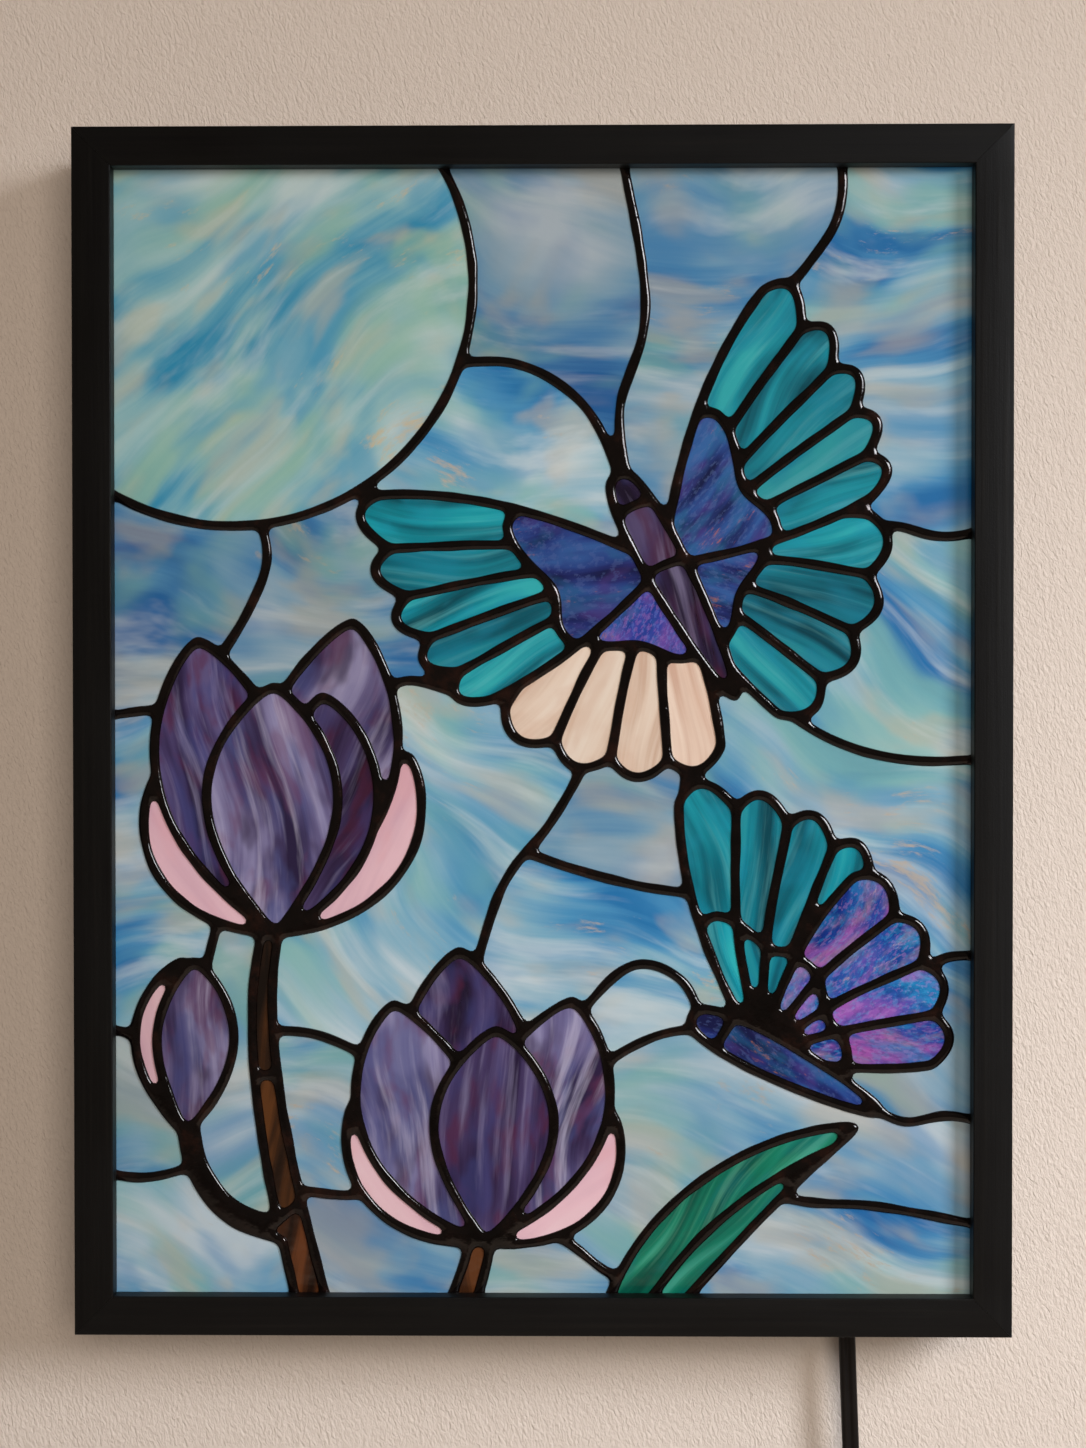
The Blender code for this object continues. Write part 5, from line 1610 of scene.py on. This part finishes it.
# %% [markdown]
# ## The cord
# Two round cores under one sheath make a section like a figure eight. It is carried along the route, and its
# flat side turns a quarter on the way to the coil, and back again before the plug.

# %% The twin cord
CORE = CORD_THICKNESS / 2
CORE_APART = CORD_WIDTH / 2 - CORE
CORE_ARC = 148  # degrees to each side of a core's outermost point, up to the waist between the cores
QUARTER = math.pi / 2


def twin_section(steps=13):
    """The figure eight as (across the width, across the thickness) about the cord's middle."""
    half = []
    for k in range(steps):
        a = math.radians(-CORE_ARC + 2 * CORE_ARC * k / (steps - 1))
        half.append((CORE_APART + CORE * math.cos(a), CORE * math.sin(a)))
    return half + [(-x, -y) for x, y in half]


def flat_side(i, spot):
    """How far the cord's broad side is turned at a point of its path: a quarter turn on the coil."""
    if i < len(hang):
        start, end = FRAME_BOTTOM - 56 * MM, enter.z + 6 * MM
        return QUARTER * eased_step((start - spot.z) / (start - end))
    if i < len(hang) - 1 + len(coil):
        return QUARTER
    start, end = leave.z - 2 * MM, PLUG_TOP.z + 10 * MM
    return QUARTER - QUARTER * eased_step((start - spot.z) / (start - end))


def cord_mesh():
    """The cord's points and faces, and for each point its place along, across and through the cord in mm."""
    section, travelled, rings, marks = twin_section(), 0.0, [], []
    for i, spot in enumerate(cord_path):
        before, after = cord_path[max(i - 1, 0)], cord_path[min(i + 1, len(cord_path) - 1)]
        travelled += (spot - before).length
        ahead = (after - before).normalized()
        angle = flat_side(i, spot)
        wide = Vector((math.cos(angle), math.sin(angle), 0.0))
        wide = (wide - ahead * wide.dot(ahead)).normalized()
        thick = ahead.cross(wide)
        rings.append([spot + wide * x + thick * y for x, y in section])
        marks += [(travelled / MM, x / MM, y / MM) for x, y in section]
    points, faces = lofted(rings)
    return points, faces, [*marks, (0.0, 0.0, 0.0), (travelled / MM, 0.0, 0.0)]


points, faces, cord_marks = cord_mesh()
lead = piece("twin_cord", points, faces, vinyl, True, {"along": cord_marks})
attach(lead, "root")
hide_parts("cord", "cord_coil", "cord_tail")
print("cord:", len(faces), "faces")

# %% [markdown]
# ## The tie and the plug
# A strap of hook-and-loop tape holds the turns together. The plug is moulded on: its body is lofted from the
# cord's flat outline, past ribs that let it bend, to the broad end that holds the two blades.

# %% The tie
tie_low, tie_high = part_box("cord_tie")
TIE_THICKNESS, TIE_CORNER = 1.2 * MM, 2.6 * MM


def rounded_rectangle(width, height, radius, steps=8):
    """A rectangle with round corners about the middle."""
    points = []
    for quadrant, (sx, sy) in enumerate(((1, 1), (-1, 1), (-1, -1), (1, -1))):
        middle = Vector((sx * (width / 2 - radius), sy * (height / 2 - radius)))
        points += [middle + toward(90 * quadrant + 90 * k / steps) * radius for k in range(steps + 1)]
    return points


def tape_material():
    """Woven nylon tape: matt, with ribs across it about 0.6 mm apart."""
    made, tree, shader = new_material("black_nylon_tape", IOR=1.53)
    place = add_node(tree, "ShaderNodeTexCoord").outputs["Object"]
    bands = {"Vector": place, "Scale": 260.0, "Distortion": 1.0}
    ribs = add_node(tree, "ShaderNodeTexWave", bands, bands_direction="Z").outputs["Fac"]
    stops = [(0.2, "#0f0f10"), (0.9, "#201f20")]
    paint = add_node(tree, "ShaderNodeValToRGB", {"Fac": ribs}, ramp=stops).outputs["Color"]
    finish(tree, shader, paint, ribs, (0.88, 0.7), (ribs, 0.5, 0.2 * MM))
    return made


middle, size = (tie_low + tie_high) / 2, tie_high - tie_low
loops = [
    rounded_rectangle(size.x, size.y, TIE_CORNER),
    rounded_rectangle(size.x - 2 * TIE_THICKNESS, size.y - 2 * TIE_THICKNESS, TIE_CORNER - 1.1 * MM),
]
flat_points, faces = slab(loops, tie_low.z, tie_high.z)
points = [(x + middle.x, z + middle.y, y) for x, y, z in flat_points]
tie = eased(piece("tape_tie", points, faces, tape_material(), True), 0.3 * MM, 2, 60)
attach(tie, "root")
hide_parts("cord_tie")

# %% The plug
plug_size = plug_high - plug_low
PLUG_SIDES = 48
SQUARENESS = 0.72  # 1 would make the plug's section an ellipse, and less makes it squarer
PLUG_STATIONS = [
    # how far down the plug as a share, half width and half thickness as shares of the plug's own
    (0.00, 0.31, 0.34),
    (0.03, 0.34, 0.38),
    (0.07, 0.34, 0.38),
    (0.09, 0.28, 0.30),
    (0.12, 0.28, 0.30),
    (0.14, 0.38, 0.42),
    (0.18, 0.38, 0.42),
    (0.20, 0.31, 0.34),
    (0.23, 0.31, 0.34),
    (0.25, 0.43, 0.48),
    (0.29, 0.46, 0.52),
    (0.36, 0.66, 0.72),
    (0.44, 0.86, 0.90),
    (0.52, 0.97, 0.98),
    (0.60, 1.00, 1.00),
    (0.90, 1.00, 1.00),
    (0.96, 0.98, 0.97),
    (0.99, 0.94, 0.90),
    (1.00, 0.90, 0.84),
]
rings = []
for down, wide, thick in PLUG_STATIONS:
    ring = []
    for k in range(PLUG_SIDES):
        a = 2 * math.pi * k / PLUG_SIDES
        x, y = (math.copysign(abs(v) ** SQUARENESS, v) for v in (math.cos(a), math.sin(a)))
        half = (x * wide * plug_size.x / 2, y * thick * plug_size.y / 2, -down * plug_size.z)
        ring.append(PLUG_TOP + Vector(half))
    rings.append(ring)
plug = piece("moulded_plug", *lofted(rings), vinyl)
plug.data.set_sharp_from_angle(angle=math.radians(50))
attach(plug, "root")
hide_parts("plug_body")

# nickel-plated brass is bright and slightly warm, with the faint lines of stamping
stamped = ((900.0, 1600.0, 90.0), (0.16, 0.32), 0.0)
brass = plated_metal("nickel_plated_brass", "#c2bcae", "#d8d3c6", *stamped)
BLADE_CORNER, BLADE_HOLE, HOLE_UP = 1.4 * MM, 1.6 * MM, 4.5 * MM
for side in ("left", "right"):
    low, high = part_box(f"plug_blade_{side}")
    width, length = high.y - low.y, high.z - low.z
    tip = rounded_rectangle(width, length, BLADE_CORNER)
    hole = [toward(-15 * k) * BLADE_HOLE + Vector((0, HOLE_UP - length / 2)) for k in range(24)]
    flat_points, faces = slab([tip, hole[::-1]], low.x, high.x)
    points = [(y, x + (low.y + high.y) / 2, z + (low.z + high.z) / 2) for x, y, z in flat_points]
    blade = eased(piece(f"brass_blade_{side}", points, faces, brass, True), 0.2 * MM, 2)
    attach(blade, "root")
    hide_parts(f"plug_blade_{side}")
